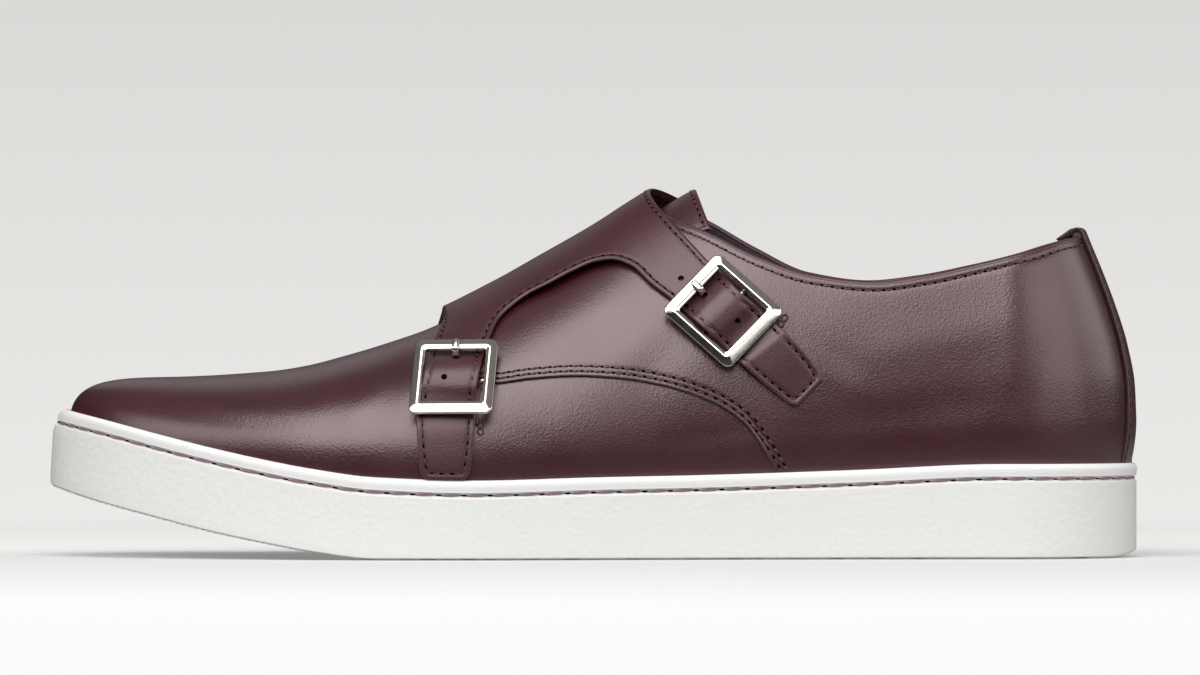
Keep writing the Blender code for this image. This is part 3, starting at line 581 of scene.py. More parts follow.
angle = np.linspace(0, 2 * np.pi, 96, endpoint=False)
disc = bpy.data.meshes.new("floor")
ring = np.stack([np.cos(angle), np.sin(angle), 0 * angle], axis=1) * FLOOR_RADIUS
disc.from_pydata(ring.tolist(), [], [list(range(len(ring)))])
floor = in_scene("floor", disc)

paper = bpy.data.materials.new("studio_floor_matt_paint")
paper.use_nodes = True
tree = paper.node_tree
tree.nodes.clear()
where = node(tree, "TexCoord").outputs["Object"]
reach = node(tree, "VectorMath", {0: where}, operation="LENGTH").outputs["Value"]
fade = ramp(tree, reach, FLOOR_SOLID, FLOOR_RADIUS, kind="SMOOTHSTEP")
behind = node(tree, "SeparateXYZ", {0: where}).outputs["Y"]
tone = mix(tree, ramp(tree, behind, -0.05, 0.12, kind="SMOOTHSTEP"), "#DADADA", "#EFEEEC")
# What the leather sees of the floor: little just in front of the shoe, where its own shadow lies.
dimmed = ramp(tree, behind, -0.16, -0.08, 0.12, 0.8, kind="SMOOTHSTEP")
dim = node(tree, "VectorMath", {0: tone, "Scale": dimmed}, operation="SCALE").outputs["Vector"]
facing = node(tree, "LightPath").outputs["Is Camera Ray"]
matt = node(tree, "BsdfDiffuse", {"Color": mix(tree, facing, dim, tone)})
glow = node(tree, "Emission", {"Color": tone, "Strength": facing})
lit = node(tree, "MixShader", {0: FLOOR_GLOW, 1: matt.outputs[0], 2: glow.outputs[0]})
clear = node(tree, "BsdfTransparent")
blend = node(tree, "MixShader", {0: fade, 1: lit.outputs[0], 2: clear.outputs[0]})
node(tree, "OutputMaterial", {"Surface": blend.outputs[0]})
disc.materials.append(paper)

# %% Backdrop and lamps
world = bpy.data.worlds.new("studio")
bpy.context.scene.world = world
world.use_nodes = True
tree = world.node_tree
tree.nodes.clear()
height = node(tree, "SeparateXYZ", {0: node(tree, "TexCoord").outputs["Generated"]}).outputs["Z"]
wall = mix(tree, ramp(tree, height, -0.023, 0.036), "#ECEBE9", "#DBDAD8")
below = node(tree, "Math", {0: height, 1: -0.0245}, operation="LESS_THAN").outputs[0]
ground = mix(tree, below, wall, "#FCFCFC")
seen = node(tree, "Background", {"Color": ground, "Strength": 1.0})
ceiling = ramp(tree, height, 0.3, 0.85, 0.03, 0.24)
room = node(tree, "Background", {"Color": linear("#F2F0EE"), "Strength": ceiling})
direct = node(tree, "LightPath").outputs["Is Camera Ray"]
both = node(tree, "MixShader", {0: direct, 1: room.outputs[0], 2: seen.outputs[0]})
node(tree, "OutputWorld", {"Surface": both.outputs[0]})

# place, aim (m), wide, tall (m), watts
SOFTBOXES = {
    "tall_softbox": ((-0.2, -0.894, 0.985), (-0.05, 0.0, 0.05), 1.08, 1.62, 23.0),
    "rear_softbox": ((0.2, 1.3, 0.8), (0.0, 0.0, 0.05), 1.6, 0.7, 1.4),
    "toe_fill": ((-1.4, -0.75, 0.8), (-0.1, 0.0, 0.05), 1.3, 0.95, 9.5),
    "heel_fill": ((1.12, -0.88, 0.54), (0.1, 0.0, 0.05), 1.3, 0.85, 7.4),
    "back_fill": ((1.35, 0.25, 0.6), (0.1, 0.0, 0.05), 1.1, 0.9, 5.0),
}
for name, (spot, aim, wide, tall, watts) in SOFTBOXES.items():
    lamp = in_scene(name, bpy.data.lights.new(name, "AREA"))
    lamp.data.shape = "RECTANGLE"
    lamp.data.size, lamp.data.size_y = wide, tall
    lamp.data.energy = watts
    lamp.location = spot
    point_at(lamp, aim)
print("lamps:", ", ".join(SOFTBOXES))

# %% [markdown]
# ## Finishes
#
# Each finish starts from what the real thing is. Smooth calf is a dielectric like any other, so what
# makes it leather is its grain of small uneven cells, a gloss that changes a little from place to place,
# and a darker dye along its cut edges. Along folded edges and in stitched channels the same darkening is
# painted shade. The patterns are measured in millimetres and read the object's own coordinates, so the
# grain keeps its size from panel to panel.

# %% A finish from its pattern
def surface_finish(name, base, roughness, **settings):
    """A new material with its main shader: flat colour and gloss, and any of the shader's own sockets."""
    made = bpy.data.materials.new(name)
    made.use_nodes = True
    shader = made.node_tree.nodes["Principled BSDF"]
    shader.inputs["Base Color"].default_value = linear(base)
    shader.inputs["Roughness"].default_value = roughness
    for socket, value in settings.items():
        shader.inputs[socket.replace("_", " ")].default_value = value
    return made, made.node_tree, shader


def drive(tree, shader, **sources):
    """Links the shader's sockets to what drives them."""
    for socket, source in sources.items():
        tree.links.new(source, shader.inputs[socket.replace("_", " ")])


def bumps(tree, height, depth):
    """The normal of a relief this many mm deep."""
    return node(tree, "Bump", {"Height": height, "Distance": depth * MM}).outputs["Normal"]


def attribute(tree, name):
    return node(tree, "Attribute", attribute_name=name).outputs["Fac"]


def leather(name, low, high, roughness, shine=0.95, grain=0.55, depth=0.03, coat=0.1):
    """Calf: two dyes mixed by a slow cloud, cells of `grain` mm pressed `depth` mm deep, and gloss that
    drifts by about a tenth. The wax on it is a thin coat with a softer shine."""
    made, tree, shader = surface_finish(
        name, low, roughness, IOR=1.5, Specular_IOR_Level=shine, Specular_Tint=linear("#FFEEF0"),
        Coat_Weight=coat, Coat_Roughness=0.30,
    )
    where = node(tree, "TexCoord").outputs["Object"]
    cloud = noise(tree, where, 26)
    # The edge field darkens the colour: dye on cut edges, and painted shade along folded edges and in
    # stitched channels.
    edge_dye_and_painted_shade = mix(tree, attribute(tree, "edge"), mix(tree, cloud, low, high), EDGE_DYE_AND_SHADE)
    colour_with_painted_shade = mix(tree, attribute(tree, "raw"), edge_dye_and_painted_shade, RAW_DYE)
    gloss = ramp(tree, cloud, 0.3, 0.7, roughness - GLOSS_DRIFT, roughness + GLOSS_DRIFT)
    bend = noise(tree, where, 2.2, 2.0, "Color")
    small = node(tree, "VectorMath", {0: bend, "Scale": 0.5 * MM}, operation="SCALE").outputs["Vector"]
    uneven = node(tree, "VectorMath", {0: where, 1: small}, operation="ADD").outputs["Vector"]
    cells = node(tree, "TexVoronoi", {"Vector": uneven, "Scale": 1 / (grain * MM)}, feature="SMOOTH_F1")
    drawn = node(tree, "VectorMath", {0: uneven, 1: (0.45, 1, 1)}, operation="MULTIPLY").outputs["Vector"]
    folds = {0: noise(tree, drawn, 0.45), 1: 0.7, 2: cells.outputs["Distance"]}
    relief = node(tree, "Math", folds, operation="MULTIPLY_ADD").outputs[0]
    drive(tree, shader, Base_Color=colour_with_painted_shade, Roughness=gloss, Normal=bumps(tree, relief, depth))
    return made


GLOSS_DRIFT = 0.035
EDGE_DYE_AND_SHADE = "#1E080D"  # darker: dye on cut edges, and painted shade along folded edges and in stitched channels
RAW_DYE = "#8A413B"  # the open fibre of a cut edge takes it as a brighter, matt red
oxblood = leather("oxblood_smooth_calf", "#300C15", "#380F19", 0.325, depth=0.045)
strap_calf = leather(
    "oxblood_strap_calf", "#330F18", "#3B131D", 0.42, shine=0.78, grain=0.5, depth=0.04, coat=0.05
)

# %% Thread and lining
# Waxed polyester thread, three plies twisted: dull, with a faint ridge for each ply.
def thread_finish(name, code):
    made, tree, shader = surface_finish(name, code, 0.55)
    where = node(tree, "TexCoord").outputs["Object"]
    plies = node(tree, "TexWave", {"Vector": where, "Scale": 1 / (0.9 * MM), "Distortion": 1.5},
                 wave_type="BANDS", bands_direction="DIAGONAL").outputs["Fac"]
    drive(tree, shader, Normal=bumps(tree, plies, 0.05))
    return made


thread = thread_finish("oxblood_waxed_thread", "#4C2C35")
sole_thread = thread_finish("mauve_waxed_thread", "#876870")
# Painted shadow: a near-black, matt finish for the shade inside each needle hole.
needle_hole = surface_finish("needle_hole_shadow", "#170509", 0.9, Specular_IOR_Level=0.0)[0]

# Charcoal lining leather with a fine pressed weave, matt so that a sock grips it.
lining_calf, tree, shader = surface_finish("charcoal_lining_leather", "#2B2A2E", 0.8, Specular_IOR_Level=0.2)
where = node(tree, "TexCoord").outputs["Object"]
pores = node(tree, "TexVoronoi", {"Vector": where, "Scale": 1 / (0.9 * MM)}).outputs["Distance"]
shade = mix(tree, noise(tree, where, 0.8), "#242326", "#323135")
drive(tree, shader, Base_Color=shade, Normal=bumps(tree, pores, 0.06))

# %% Rubber and nickel
# Moulded natural rubber, filled white: matt, and a little translucent, with a pebble from the mould.
rubber, tree, shader = surface_finish("white_moulded_rubber", "#E9E9E6", 0.5, IOR=1.52)
where = node(tree, "TexCoord").outputs["Object"]
mask = attribute(tree, "pebble")
stones = node(tree, "TexVoronoi", {"Vector": where, "Scale": 1 / (1.5 * MM)}, feature="SMOOTH_F1")
relief = node(tree, "Math", {0: stones.outputs["Distance"], 1: mask}, operation="MULTIPLY").outputs[0]
drive(tree, shader, Base_Color=mix(tree, mask, "#DEDEDC", "#D8D8D5"), Normal=bumps(tree, relief, 0.10))

# Painted light: the tread's rubber is a lighter white than the cup's, so that its ribs, which lie in the
# cup's shade, still read pale.
tread_rubber_lightened = surface_finish("white_tread_rubber", "#EAEAE8", 0.65)[0]

# Nickel plate over a cast buckle, polished: a mirror with a slight warmth and a few hairlines.
nickel, tree, shader = surface_finish("polished_nickel_plate", "#DCD6CC", 0.14, Metallic=1.0)
where = node(tree, "TexCoord").outputs["Object"]
drive(tree, shader, Roughness=ramp(tree, noise(tree, where, 3), 0.0, 1.0, 0.07, 0.22))
print("finishes:", ", ".join(m.name for m in (oxblood, strap_calf, thread, lining_calf, rubber, nickel)))

# %% [markdown]
# ## The cup sole
#
# The sole is one moulding of white rubber: a cup that holds the upper, with a smooth rolled lip, a
# groove under it where a lockstitch ties the cup to the upper, and a pebbled sidewall. A profile is
# carried round the outline. Its points are given as how far inside the edge they lie and how far below
# the lip or above the base, so the same profile works at the high toe and at the flat heel.

# %% Outline and profile of the sole
def outline(tip, back, inset, toe, foot, heel):
    """One loop seen from above: x, y and the inward direction, lateral side first, then the medial."""
    one_side = stations(tip, back, toe, foot, heel)
    x = np.concatenate([one_side, one_side[-2:0:-1]])
    side = np.where(np.arange(len(x)) < len(one_side), LATERAL, MEDIAL)
    y = read(LAST, "centre", x) + side * half_width(x, side, tip, back, inset)
    loop = np.stack([x, y], axis=1)
    ahead = around(loop)
    return x, y, side, np.stack([-ahead[:, 1], ahead[:, 0]], axis=1)


TOE_LEAN, TOE_LEAN_START, TOE_LEAN_DEPTH = 3.2, -130.0, 11.0
SOLE_LOOP = outline(SOLE_TIP, SOLE_BACK, 0, 48, 130, 36)
FOOT_LOOP = outline(UPPER_TIP, UPPER_BACK, UPPER_INSET, 48, 130, 36)


def sole_ring(inset, line, offset):
    """A loop this far inside the sole's edge, at a height read from the sole's table. Round the toe the
    lip leans back, most at its top."""
    x, y, _, inward = SOLE_LOOP
    if line == "lip":
        ahead = np.clip((TOE_LEAN_START - x) / (TOE_LEAN_START - SOLE_TIP), 0, 1)
        inset = inset + TOE_LEAN * ahead**2 * np.clip(1 + offset / TOE_LEAN_DEPTH, 0, 1) ** 1.5
    x, y = x + inset * inward[:, 0], y + inset * inward[:, 1]
    return np.stack([x, y, read(SOLE, line, x) + offset], axis=1)


def foot_ring(depth_share, outward):
    """A loop round the upper below its widest line: 0 is that line and 1 the cup's floor."""
    x, y, _, inward = FOOT_LOOP
    depth = read(LAST, "widest", x) - read(SOLE, "floor", x)
    inset = TUCK * depth * depth_share**2 - outward
    z = read(LAST, "widest", x) - depth * depth_share
    return np.stack([x + inset * inward[:, 0], y + inset * inward[:, 1], z], axis=1)


def lid(ring, start, upward):
    """Rungs between the two sides of a loop, to close it: each joins a point of one side to the point
    across from it."""
    count = len(ring)
    left = np.arange(count // 2)
    right = (count - left) % count
    rungs = np.stack([left, left + 1, (count - left - 1) % count, right], axis=1) + start
    return rungs if upward else rungs[:, ::-1]


def stacked(rings):
    """A closed body from a stack of loops, with a lid on the first and the last."""
    count = len(rings[0])
    sides = quads(wrapped(grid_index(len(rings), count)))
    ends = [lid(rings[0], 0, False), lid(rings[-1], (len(rings) - 1) * count, True)]
    return np.concatenate(rings), np.concatenate([sides, *ends])


# %% Cup
GROOVE_DOWN, GROOVE_DEEP, GROOVE_HALF = 4.1, 0.9, 0.75  # below the lip
LIP_ROUND = 1.5
EDGE_ROUND = 0.5  # the sidewall's lower edge
WALL_FOOT = 0.4  # how high over the base the sidewall ends
FOOT_GAP = 0.3  # from the cup's inner wall to the leather
TALL_WALL = 13  # the loops' place in the profile where the sidewall is tallest

quarter = np.linspace(0, np.pi / 2, 7)
# line, inset, offset, pebble
profile = [("base", 8.0, 3.5, 0), ("base", 8.0, 1.0, 0), ("base", 4.0, 1.0, 0), ("base", 2.4, WALL_FOOT, 0)]
profile += [
    ("base", EDGE_ROUND * (1 - np.sin(a)), WALL_FOOT + EDGE_ROUND * (1 - np.cos(a)), 0.6) for a in quarter
]
profile += [("base", 0, 2.6, 1), ("base", 0, 3.6, 1), ("lip", 0, -7.0, 1)]
profile += [("lip", 0, -GROOVE_DOWN - GROOVE_HALF - 0.35, 1)]
profile += [
    ("lip", GROOVE_DEEP * np.cos(step * np.pi / 2) ** 0.7, -GROOVE_DOWN + GROOVE_HALF * step, 0)
    for step in np.linspace(-1, 1, 9)
]
profile += [("lip", 0, -2.9, 0), ("lip", -0.12, -2.4, 0)]
profile += [("lip", -0.12 + LIP_ROUND * (1 - np.cos(a)), -LIP_ROUND * (1 - np.sin(a)), 0) for a in quarter]

rings = [sole_ring(inset, line, offset) for line, inset, offset, _ in profile]
pebble = [rough for *_, rough in profile]
top, low = foot_ring(0, FOOT_GAP), foot_ring(1, FOOT_GAP)
mouth = np.minimum(read(SOLE, "lip", top[:, 0]) - FOOT_GAP, rings[-1][:, 2])
share = np.clip((top[:, 2] - mouth) / (top[:, 2] - low[:, 2]), 0, 1)
throat = foot_ring(share, FOOT_GAP)
throat[:, 2] = mouth
rings += [throat, *(foot_ring(share + (1 - share) * part, FOOT_GAP) for part in (0.3, 0.65, 0.9)), low]
pebble += [0] * (len(rings) - len(pebble))
# Between the lower edge and the groove the tall wall takes evenly spaced loops, so the pebble has
# something to sit on.
wall_low, wall_high = rings[TALL_WALL - 1], rings[TALL_WALL]
filled = [wall_low + (wall_high - wall_low) * part for part in np.linspace(0, 1, 8)[1:-1]]
rings[TALL_WALL:TALL_WALL] = filled
pebble[TALL_WALL:TALL_WALL] = [1] * len(filled)
rough = np.repeat(pebble, len(rings[0]))
cup_body = [stacked(rings)]
make_piece("cup", cup_body, rubber, "cup_sole", "white_rubber", weld=0.004, fields={"pebble": rough})
print("cup loops:", len(rings), "of", len(rings[0]), "points")

# %% [markdown]
# ## Stitches
#
# A lockstitch shows as a row of short dashes, each a piece of thread that dives into the leather at both
# ends and lies a little slanted. One dash is a bent cord with a few faces. It is copied along a line at
# the real stitch length, each copy turned to the line and to the leather, all in one array operation.

# %% Lines on leather, and stitches along them
def evenly(line, pitch, *others):
    """Points of a line at equal distances of about `pitch`, half a step in from its ends, and its other
    columns of numbers at the same places."""
    run = run_of(line)
    count = max(int(run[-1] / pitch), 2)
    at = (np.arange(count) + 0.5) * run[-1] / count
    lines = (line, *others)
    return [np.stack([np.interp(at, run, column) for column in values.T], axis=1) for values in lines]


def turned_to(spots, up):
    """Directions at each spot of a row: along it, across it, and up, square to both."""
    along = unit(np.gradient(spots, axis=0))
    up = unit(up - along * np.sum(up * along, axis=1, keepdims=True))
    return np.stack([along, np.cross(up, along), up], axis=1)


def copied(body, faces, spots, axes):
    """One small body copied to each spot, and turned to the directions there."""
    points = spots[:, None] + np.einsum("pk,nkj->npj", body, axes)
    shifts = np.arange(len(spots))[:, None, None] * len(body)
    return points.reshape(-1, 3), (faces[None] + shifts).reshape(-1, 4)


INNER_CORNER = 0.96  # the share of its distance from the edge that a stitch must keep


def inset_line(edge, normal, towards, distance):
    """A line beside an edge, this far over the leather on the side of `towards`: across is the cross
    product of the normal and the edge's direction. Places that end up nearer to the edge, as inside a
    sharp corner, are dropped."""
    across = unit(np.cross(normal, np.gradient(edge, axis=0)))
    across *= np.sign(np.sum(across * (towards - edge), axis=1, keepdims=True))
    line = edge + distance * across
    gap = np.linalg.norm(line[:, None] - edge[None], axis=2).min(axis=1)
    kept = gap > INNER_CORNER * distance
    return line[kept], normal[kept]


def stitches(line, normal, pitch=2.8, long=1.75, thick=0.25, proud=0.13, slant=0.16):
    """A row of dashes: each copy of one bent cord is set along the line, across it, and off the face."""
    share = np.linspace(-1, 1, 7)
    arch = np.stack([share * long / 2, slant * share * long / 2, proud - 0.42 * np.abs(share) ** 3], axis=1)
    width = thick * (1 - 0.45 * np.abs(share) ** 3)
    dash, faces = tube(arch, width, sides=6)
    spots, up = evenly(line, pitch, normal)
    return copied(dash, faces, spots, turned_to(spots, up))


def settled(line, normal, leather):
    """A line moved along its normals until it lies on the leather: to the height of the nearest of the
    leather's own points."""
    near = [leather[np.linalg.norm(leather - spot, axis=1).argmin()] for spot in line]
    return line + normal * np.sum((np.array(near) - line) * normal, axis=1, keepdims=True)


def hole_shadow_dots(line, normal, pitch, radius=0.36, long=1.75):
    """A painted shadow for the shade in each needle hole, where two dashes meet: a flat double cone, mostly
    under the leather, `long` times as long as it is wide."""
    spots, up = evenly(line, pitch, normal)
    spots, up = (spots[:-1] + spots[1:]) / 2, unit(up[:-1] + up[1:])
    sides = 8
    angle = np.linspace(0, 2 * np.pi, sides, endpoint=False)
    disc = np.stack([radius * long * np.cos(angle), radius * np.sin(angle), 0.06 + 0 * angle], axis=1)
    cone = np.concatenate([disc, [(0, 0, 0.1), (0, 0, -0.3)]])
    ring, after = np.arange(sides), np.roll(np.arange(sides), -1)
    top = np.stack([np.full(sides, sides), ring, after, after], axis=1)
    low = np.stack([np.full(sides, sides + 1), after, ring, ring], axis=1)
    return copied(cone, np.concatenate([top, low]), spots, turned_to(spots, up))


STITCH_PITCH = 2.8
sewn, shaded_hole_rows = [], []  # every row of stitches and the painted shadows of its needle holes, made into two pieces at the end


def sew(line, normal, leather, pitch=STITCH_PITCH, **dash):
    """One row of stitches and the painted shadows of their needle holes, laid on this leather's points."""
    spots, up = evenly(line, pitch / 4, normal)
    spots = settled(spots, up, leather.reshape(-1, 3))
    sewn.append(stitches(spots, up, pitch, **dash))
    shaded_hole_rows.append(hole_shadow_dots(spots, up, pitch))

# %% [markdown]
# ## The upper's wrinkles and its pull
#
# Stretched calf isn't perfectly even: it draws in softly where a strap pulls on it or where the foot
# bends. Each soft trough or ridge is given one by one: where its middle is seen from the side, how long
# and wide it is, which way it runs, and how high or deep it is.

# %% Soft troughs and ridges
# x, z: middle. angle: degrees from the floor. long, wide: half sizes. rise: up or down.
FOLDS = table(
    "x z angle long wide rise",
    (
        (-52, 50, 62, 17, 4.2, -0.16), (-59, 46, 60, 15, 4.4, 0.10), (-66, 43, 57, 13, 4.0, -0.08),
        (-20, 58, 20, 12, 4.0, -0.12), (-8, 62, 24, 16, 4.6, 0.14), (22, 58, 48, 15, 5.2, -0.20),
        (10, 57, 40, 14, 5.0, 0.12), (60, 58, -34, 14, 3.6, -0.20), (66, 50, -28, 15, 4.0, 0.16),
        (-22, 36, -28, 10, 3.0, -0.16), (88, 40, 8, 26, 5.0, -0.22), (96, 60, 12, 22, 6.0, 0.20),
        (118, 48, 66, 14, 4.0, -0.18), (30, 33, 12, 15, 3.4, -0.14),
    ),
)


def folded(points):
    """The sum of all folds at these points: each is a bell across its width that fades out along it."""
    total = np.zeros(points.shape[:-1])
    for x, z, angle, long, wide, rise in zip(*FOLDS.values()):
        tilt = np.radians(angle)
        right, up = points[..., 0] - x, points[..., 2] - z
        along = (right * np.cos(tilt) + up * np.sin(tilt)) / long
        across = (up * np.cos(tilt) - right * np.sin(tilt)) / wide
        total += rise * np.exp(-(across**2) - along**4)
    return total


# %% [markdown]
# ## Vamp
#
# The vamp is the one piece of calf over the toes. It is pulled down over the last and under the sole, so
# it has no seam in front. Behind, it splits round the throat and its two wings run under the quarters.

# %% Vamp
FOOT_EDGE = np.pi / 2 + 0.62  # the leather's lower edge, hidden in the cup
VAMP_END = 62.0
VAMP_WALL = 0.6
VAMP_TOE_STEPS = 46
TOE_SMOOTH, TOE_EASE = -120, 30  # the folds start at the first, and reach their height over the second

front = stations(UPPER_TIP, UPPER_BACK, VAMP_TOE_STEPS, 1, 1)[:VAMP_TOE_STEPS + 1]
vamp_x = np.concatenate([front, np.linspace(TOE_START, VAMP_END, 112)[1:]])
share = np.linspace(0, 1, 76)[:, None]
wings = []
for side in (LATERAL, MEDIAL):
    turn = side * (FOOT_EDGE + (throat_turn(vamp_x, side) - FOOT_EDGE) * share)
    x = vamp_x + 0 * turn
    base = surface(x, turn)
    grid = base + (folded(base) * ease((vamp_x - TOE_SMOOTH) / TOE_EASE))[..., None] * normal_at(x, turn)
    wings.append((grid.reshape(-1, 3), quads(grid_index(*turn.shape))[:, ::-side]))
vamp = make_piece("vamp", [joined(wings)], oxblood, "upper", wall=VAMP_WALL, weld=0.02)
print("vamp faces:", len(vamp.data.polygons))

# %% [markdown]
# ## Quarters
#
# A quarter is the panel from the vamp to the back of the heel. Its front edge is cut in a long curve,
# laid over the vamp and held by two rows of stitches, and its top edge runs under the collar's bead. The
# same code makes both sides: rows run from the lower edge to the upper, closer together at the edges,
# where the leather rolls over and the stitches pull it down.

# %% The curved front edge
# x, z: the edge as it is seen from the side. top: where the row from there meets the upper edge.
QUARTER_EDGE = table(
    "x z top",
    (
        (-37.5, 49.4, -31), (-26.4, 48.1, -20), (-17, 49.2, -11), (-5, 49.9, 0), (8.4, 49.1, 12),
        (18.4, 47.4, 21), (28.4, 44.4, 31), (35.1, 41.4, 37.5), (41.8, 36.4, 44.5), (46, 30.5, 50),
        (49.9, 23.9, 56), (52.2, 18.6, 61),
    ),
)
QUARTER_RISE, QUARTER_WALL = 0.9, 0.85
HEEL_RISE = 0.3
SEAM_ROWS = (1.4, 2.9)  # the two rows of stitches, from the edge
TOP_ROW = 1.8  # one row below the collar's bead
BEHIND_STEPS, HEEL_STEPS = 52, 30
QUARTER_ROWS = 46  # between the rows near the two edges
SEAM_END, TOP_START = 7, 15.0  # the rows stop this many points short of the cup, and start at this x


def quarter_rise(x):
    """The panel's height over the last: on the vamp in front, then down to meet the heel's strip."""
    return QUARTER_RISE + (HEEL_RISE - QUARTER_RISE) * ease((x - 62) / 52)


def make_quarter(name, side):
    """One quarter as a closed sheet, with its stitches. Gives its number of faces."""
    step = np.linspace(0, 1, len(QUARTER_EDGE["x"]))
    share = np.linspace(0, 1, 120)
    seam = {key: smooth(share, step, QUARTER_EDGE[key]) for key in QUARTER_EDGE}
    low_x, low_turn = place(seam["x"], seam["z"], side, QUARTER_RISE)
    middle = np.linspace(low_x[-1], HEEL_START, BEHIND_STEPS + 1)[1:]
    foot_x = np.concatenate([middle, heel_stations(HEEL_STEPS)])
    foot_turn = turn_at(foot_x, read(SOLE, "lip", foot_x) - 5, side)
    carried = (foot_x - low_x[-1]) / (UPPER_BACK - low_x[-1])
    high_x = np.concatenate([seam["top"], seam["top"][-1] + (UPPER_BACK - seam["top"][-1]) * carried])
    low_x, low_turn = np.concatenate([low_x, foot_x]), np.concatenate([low_turn, foot_turn])
    high_turn = side * throat_turn(high_x, side)

    def path(part):
        return low_x + (high_x - low_x) * part, low_turn + (high_turn - low_turn) * part

    x, turn, below, above = fill(path, EDGE_STEPS, EDGE_STEPS[:11], QUARTER_ROWS)
    cut = ease((QUARTER_EDGE["x"][-1] - 0.2 - low_x) / 3)  # 1 along the curved edge, 0 behind it
    base = surface(x, turn)
    rise = quarter_rise(x) + folded(base)
    rise = rise + cut * (rolled(below, 0.5, 0.3) + sum(channel(below, at, 0.16) for at in SEAM_ROWS))
    rise = rise + rolled(above, 0.7, 0.30) + channel(above, TOP_ROW, 0.16)
    normal = normal_at(x, turn)
    outer = base + rise[..., None] * normal
    inner = base + (quarter_rise(x) - QUARTER_WALL)[..., None] * normal
    body = sheet(outer, inner, round_rim=0.2)
    # Darker along the folded front edge, in its stitch channels and along the top edge under the collar's
    # bead: painted shade. The rim, a cut edge, is darker with dye.
    dark = cut * (0.9 * bell(below, 0, 0.5) + 0.3 * bell(below, 2.1, 1.6)) + 0.45 * bell(above, 1.0, 1.2)
    dark = np.concatenate([dark.ravel(), dark.ravel(), np.full(len(body[0]) - 2 * dark.size, 0.8)])
    piece = make_piece(name, [body], oxblood, fields={"edge": np.clip(dark, 0, 1)}, weld=0.003)
    seam_end = len(share) - SEAM_END
    for at in SEAM_ROWS:
        row = inset_line(outer[0, :seam_end], normal[0, :seam_end], outer[12, :seam_end], at)
        sew(*row, outer[:24], thick=0.29, slant=0.22)
    top = slice(int(np.searchsorted(high_x, TOP_START)), len(high_x) - 2)
    sew(*inset_line(outer[-1, top], normal[-1, top], outer[-8, top], TOP_ROW), outer[-16:])
    return len(piece.data.polygons)


for name, side in (("lateral_quarter", LATERAL), ("medial_quarter", MEDIAL)):
    print(name, "faces:", make_quarter(name, side))

# %% [markdown]
# ## Lining and collar
#
# Inside the quarters lies a softer charcoal lining. Where both end, round the foot's opening, a narrow
# strip is folded over them: from outside it is a thin rolled bead that catches the light.

# %% Lining
LINING_RISE, LINING_WALL = -0.68, 1.2
SKIRT_WALL, SKIRT_INSET = 1.1, 0.7

loop_x, _, loop_side, _ = outline(UPPER_TIP, UPPER_BACK, UPPER_INSET, 24, 90, 24)
edge = np.where(loop_side < 0, throat_turn(loop_x, LATERAL), throat_turn(loop_x, MEDIAL))
turn = loop_side * (FOOT_EDGE + (edge - FOOT_EDGE) * np.linspace(0, 1, 34)[:, None])
grid = lifted(loop_x + 0 * turn, turn, LINING_RISE)
body = grid.reshape(-1, 3), quads(wrapped(grid_index(*turn.shape)))
make_piece("lining", [body], lining_calf, "", "charcoal_lining", wall=LINING_WALL, weld=0.05)
# Below the widest line the lining goes on down to the insole, as a ring of its own.
skirt = np.stack([foot_ring(share, -SKIRT_INSET) for share in (0, 0.2, 0.4, 0.6, 0.8, 0.93)])
body = skirt.reshape(-1, 3), quads(wrapped(grid_index(*skirt.shape[:2])))[:, ::-1]
make_piece("lining_skirt", [body], lining_calf, "", "charcoal_lining", wall=SKIRT_WALL)

# %% Collar bead
BEAD_RADIUS = 0.98
BEAD_FRONT = 13.0  # its ends are under the flap
BEAD_SUNK = 1.05  # from the quarter's face to the middle of the wall


def collar_line(side):
    """The collar's edge from the flap to the back, at the middle of the wall."""
    x = np.concatenate([np.linspace(BEAD_FRONT, HEEL_START, 130), heel_stations(34)])
    return lifted(x, side * throat_turn(x, side), quarter_rise(x) - BEAD_SUNK)


bead_line = np.concatenate([collar_line(LATERAL), collar_line(MEDIAL)[::-1]])
apart = np.linalg.norm(np.diff(bead_line, axis=0), axis=1) > 0.05
bead_line = bead_line[np.concatenate([[True], apart])]
make_piece("collar_bead", [tube(bead_line, BEAD_RADIUS, sides=14)], strap_calf)
print("collar bead:", round(float(run_of(bead_line)[-1])), "mm")

# %% Insole
# A soft sock of the same lining over foam, with a rounded edge, that lies on the cup's floor. Its top is
# filled with loops that draw in to its middle line.
SOCK_INSET = 1.35
under = foot_ring(1, -SOCK_INSET)
sock_rings = [under + (0, 0, 0.3), under + (0, 0, 2.6)]
for back, up in ((0.15, 2.95), (0.5, 3.2), (1.0, 3.3)):
    shrunk = under + np.concatenate([FOOT_LOOP[3] * back, np.full((len(under), 1), up)], axis=1)
    sock_rings.append(shrunk)
opposite = -np.arange(len(under)) % len(under)
middle_line = (shrunk + shrunk[opposite]) / 2
sock_rings += [shrunk + (middle_line - shrunk) * share for share in (0.1, 0.3, 0.55, 0.8, 0.96)]
make_piece("insole_sock", [stacked(sock_rings)], lining_calf, "insole", "charcoal_lining", weld=0.004)

# %% [markdown]
# ## Flap and straps
#
# The flap and its two straps are cut from one piece of calf. It is sewn down along the inner side of the
# foot, crosses the instep over the tongue, and ends in the two straps. Three grids share their border
# points, so they merge into one sheet. Every edge effect, the rolled edge, the stitch line with its painted
# shade and the raw rim, is then read from one field: each point's distance to the merged sheet's border.

# %% Straps and buckles: the tables
BUCKLES = {"front": (-37.35, 49.3), "rear": (35.55, 67.3)}
BUCKLE_TURN = {"front": 7.5, "rear": 0.0}  # degrees from the strap's own direction
# The flap's lower edge between the two straps, seen from the lateral side.
SCALLOP = table(
    "x z",
    (
        (-25.4, 66.0), (-18.4, 71.5), (-11.7, 74.5), (-5, 77.8), (1.7, 80.6), (5.7, 81.2), (10.5, 79.9),
        (16, 75.0),
    ),
)
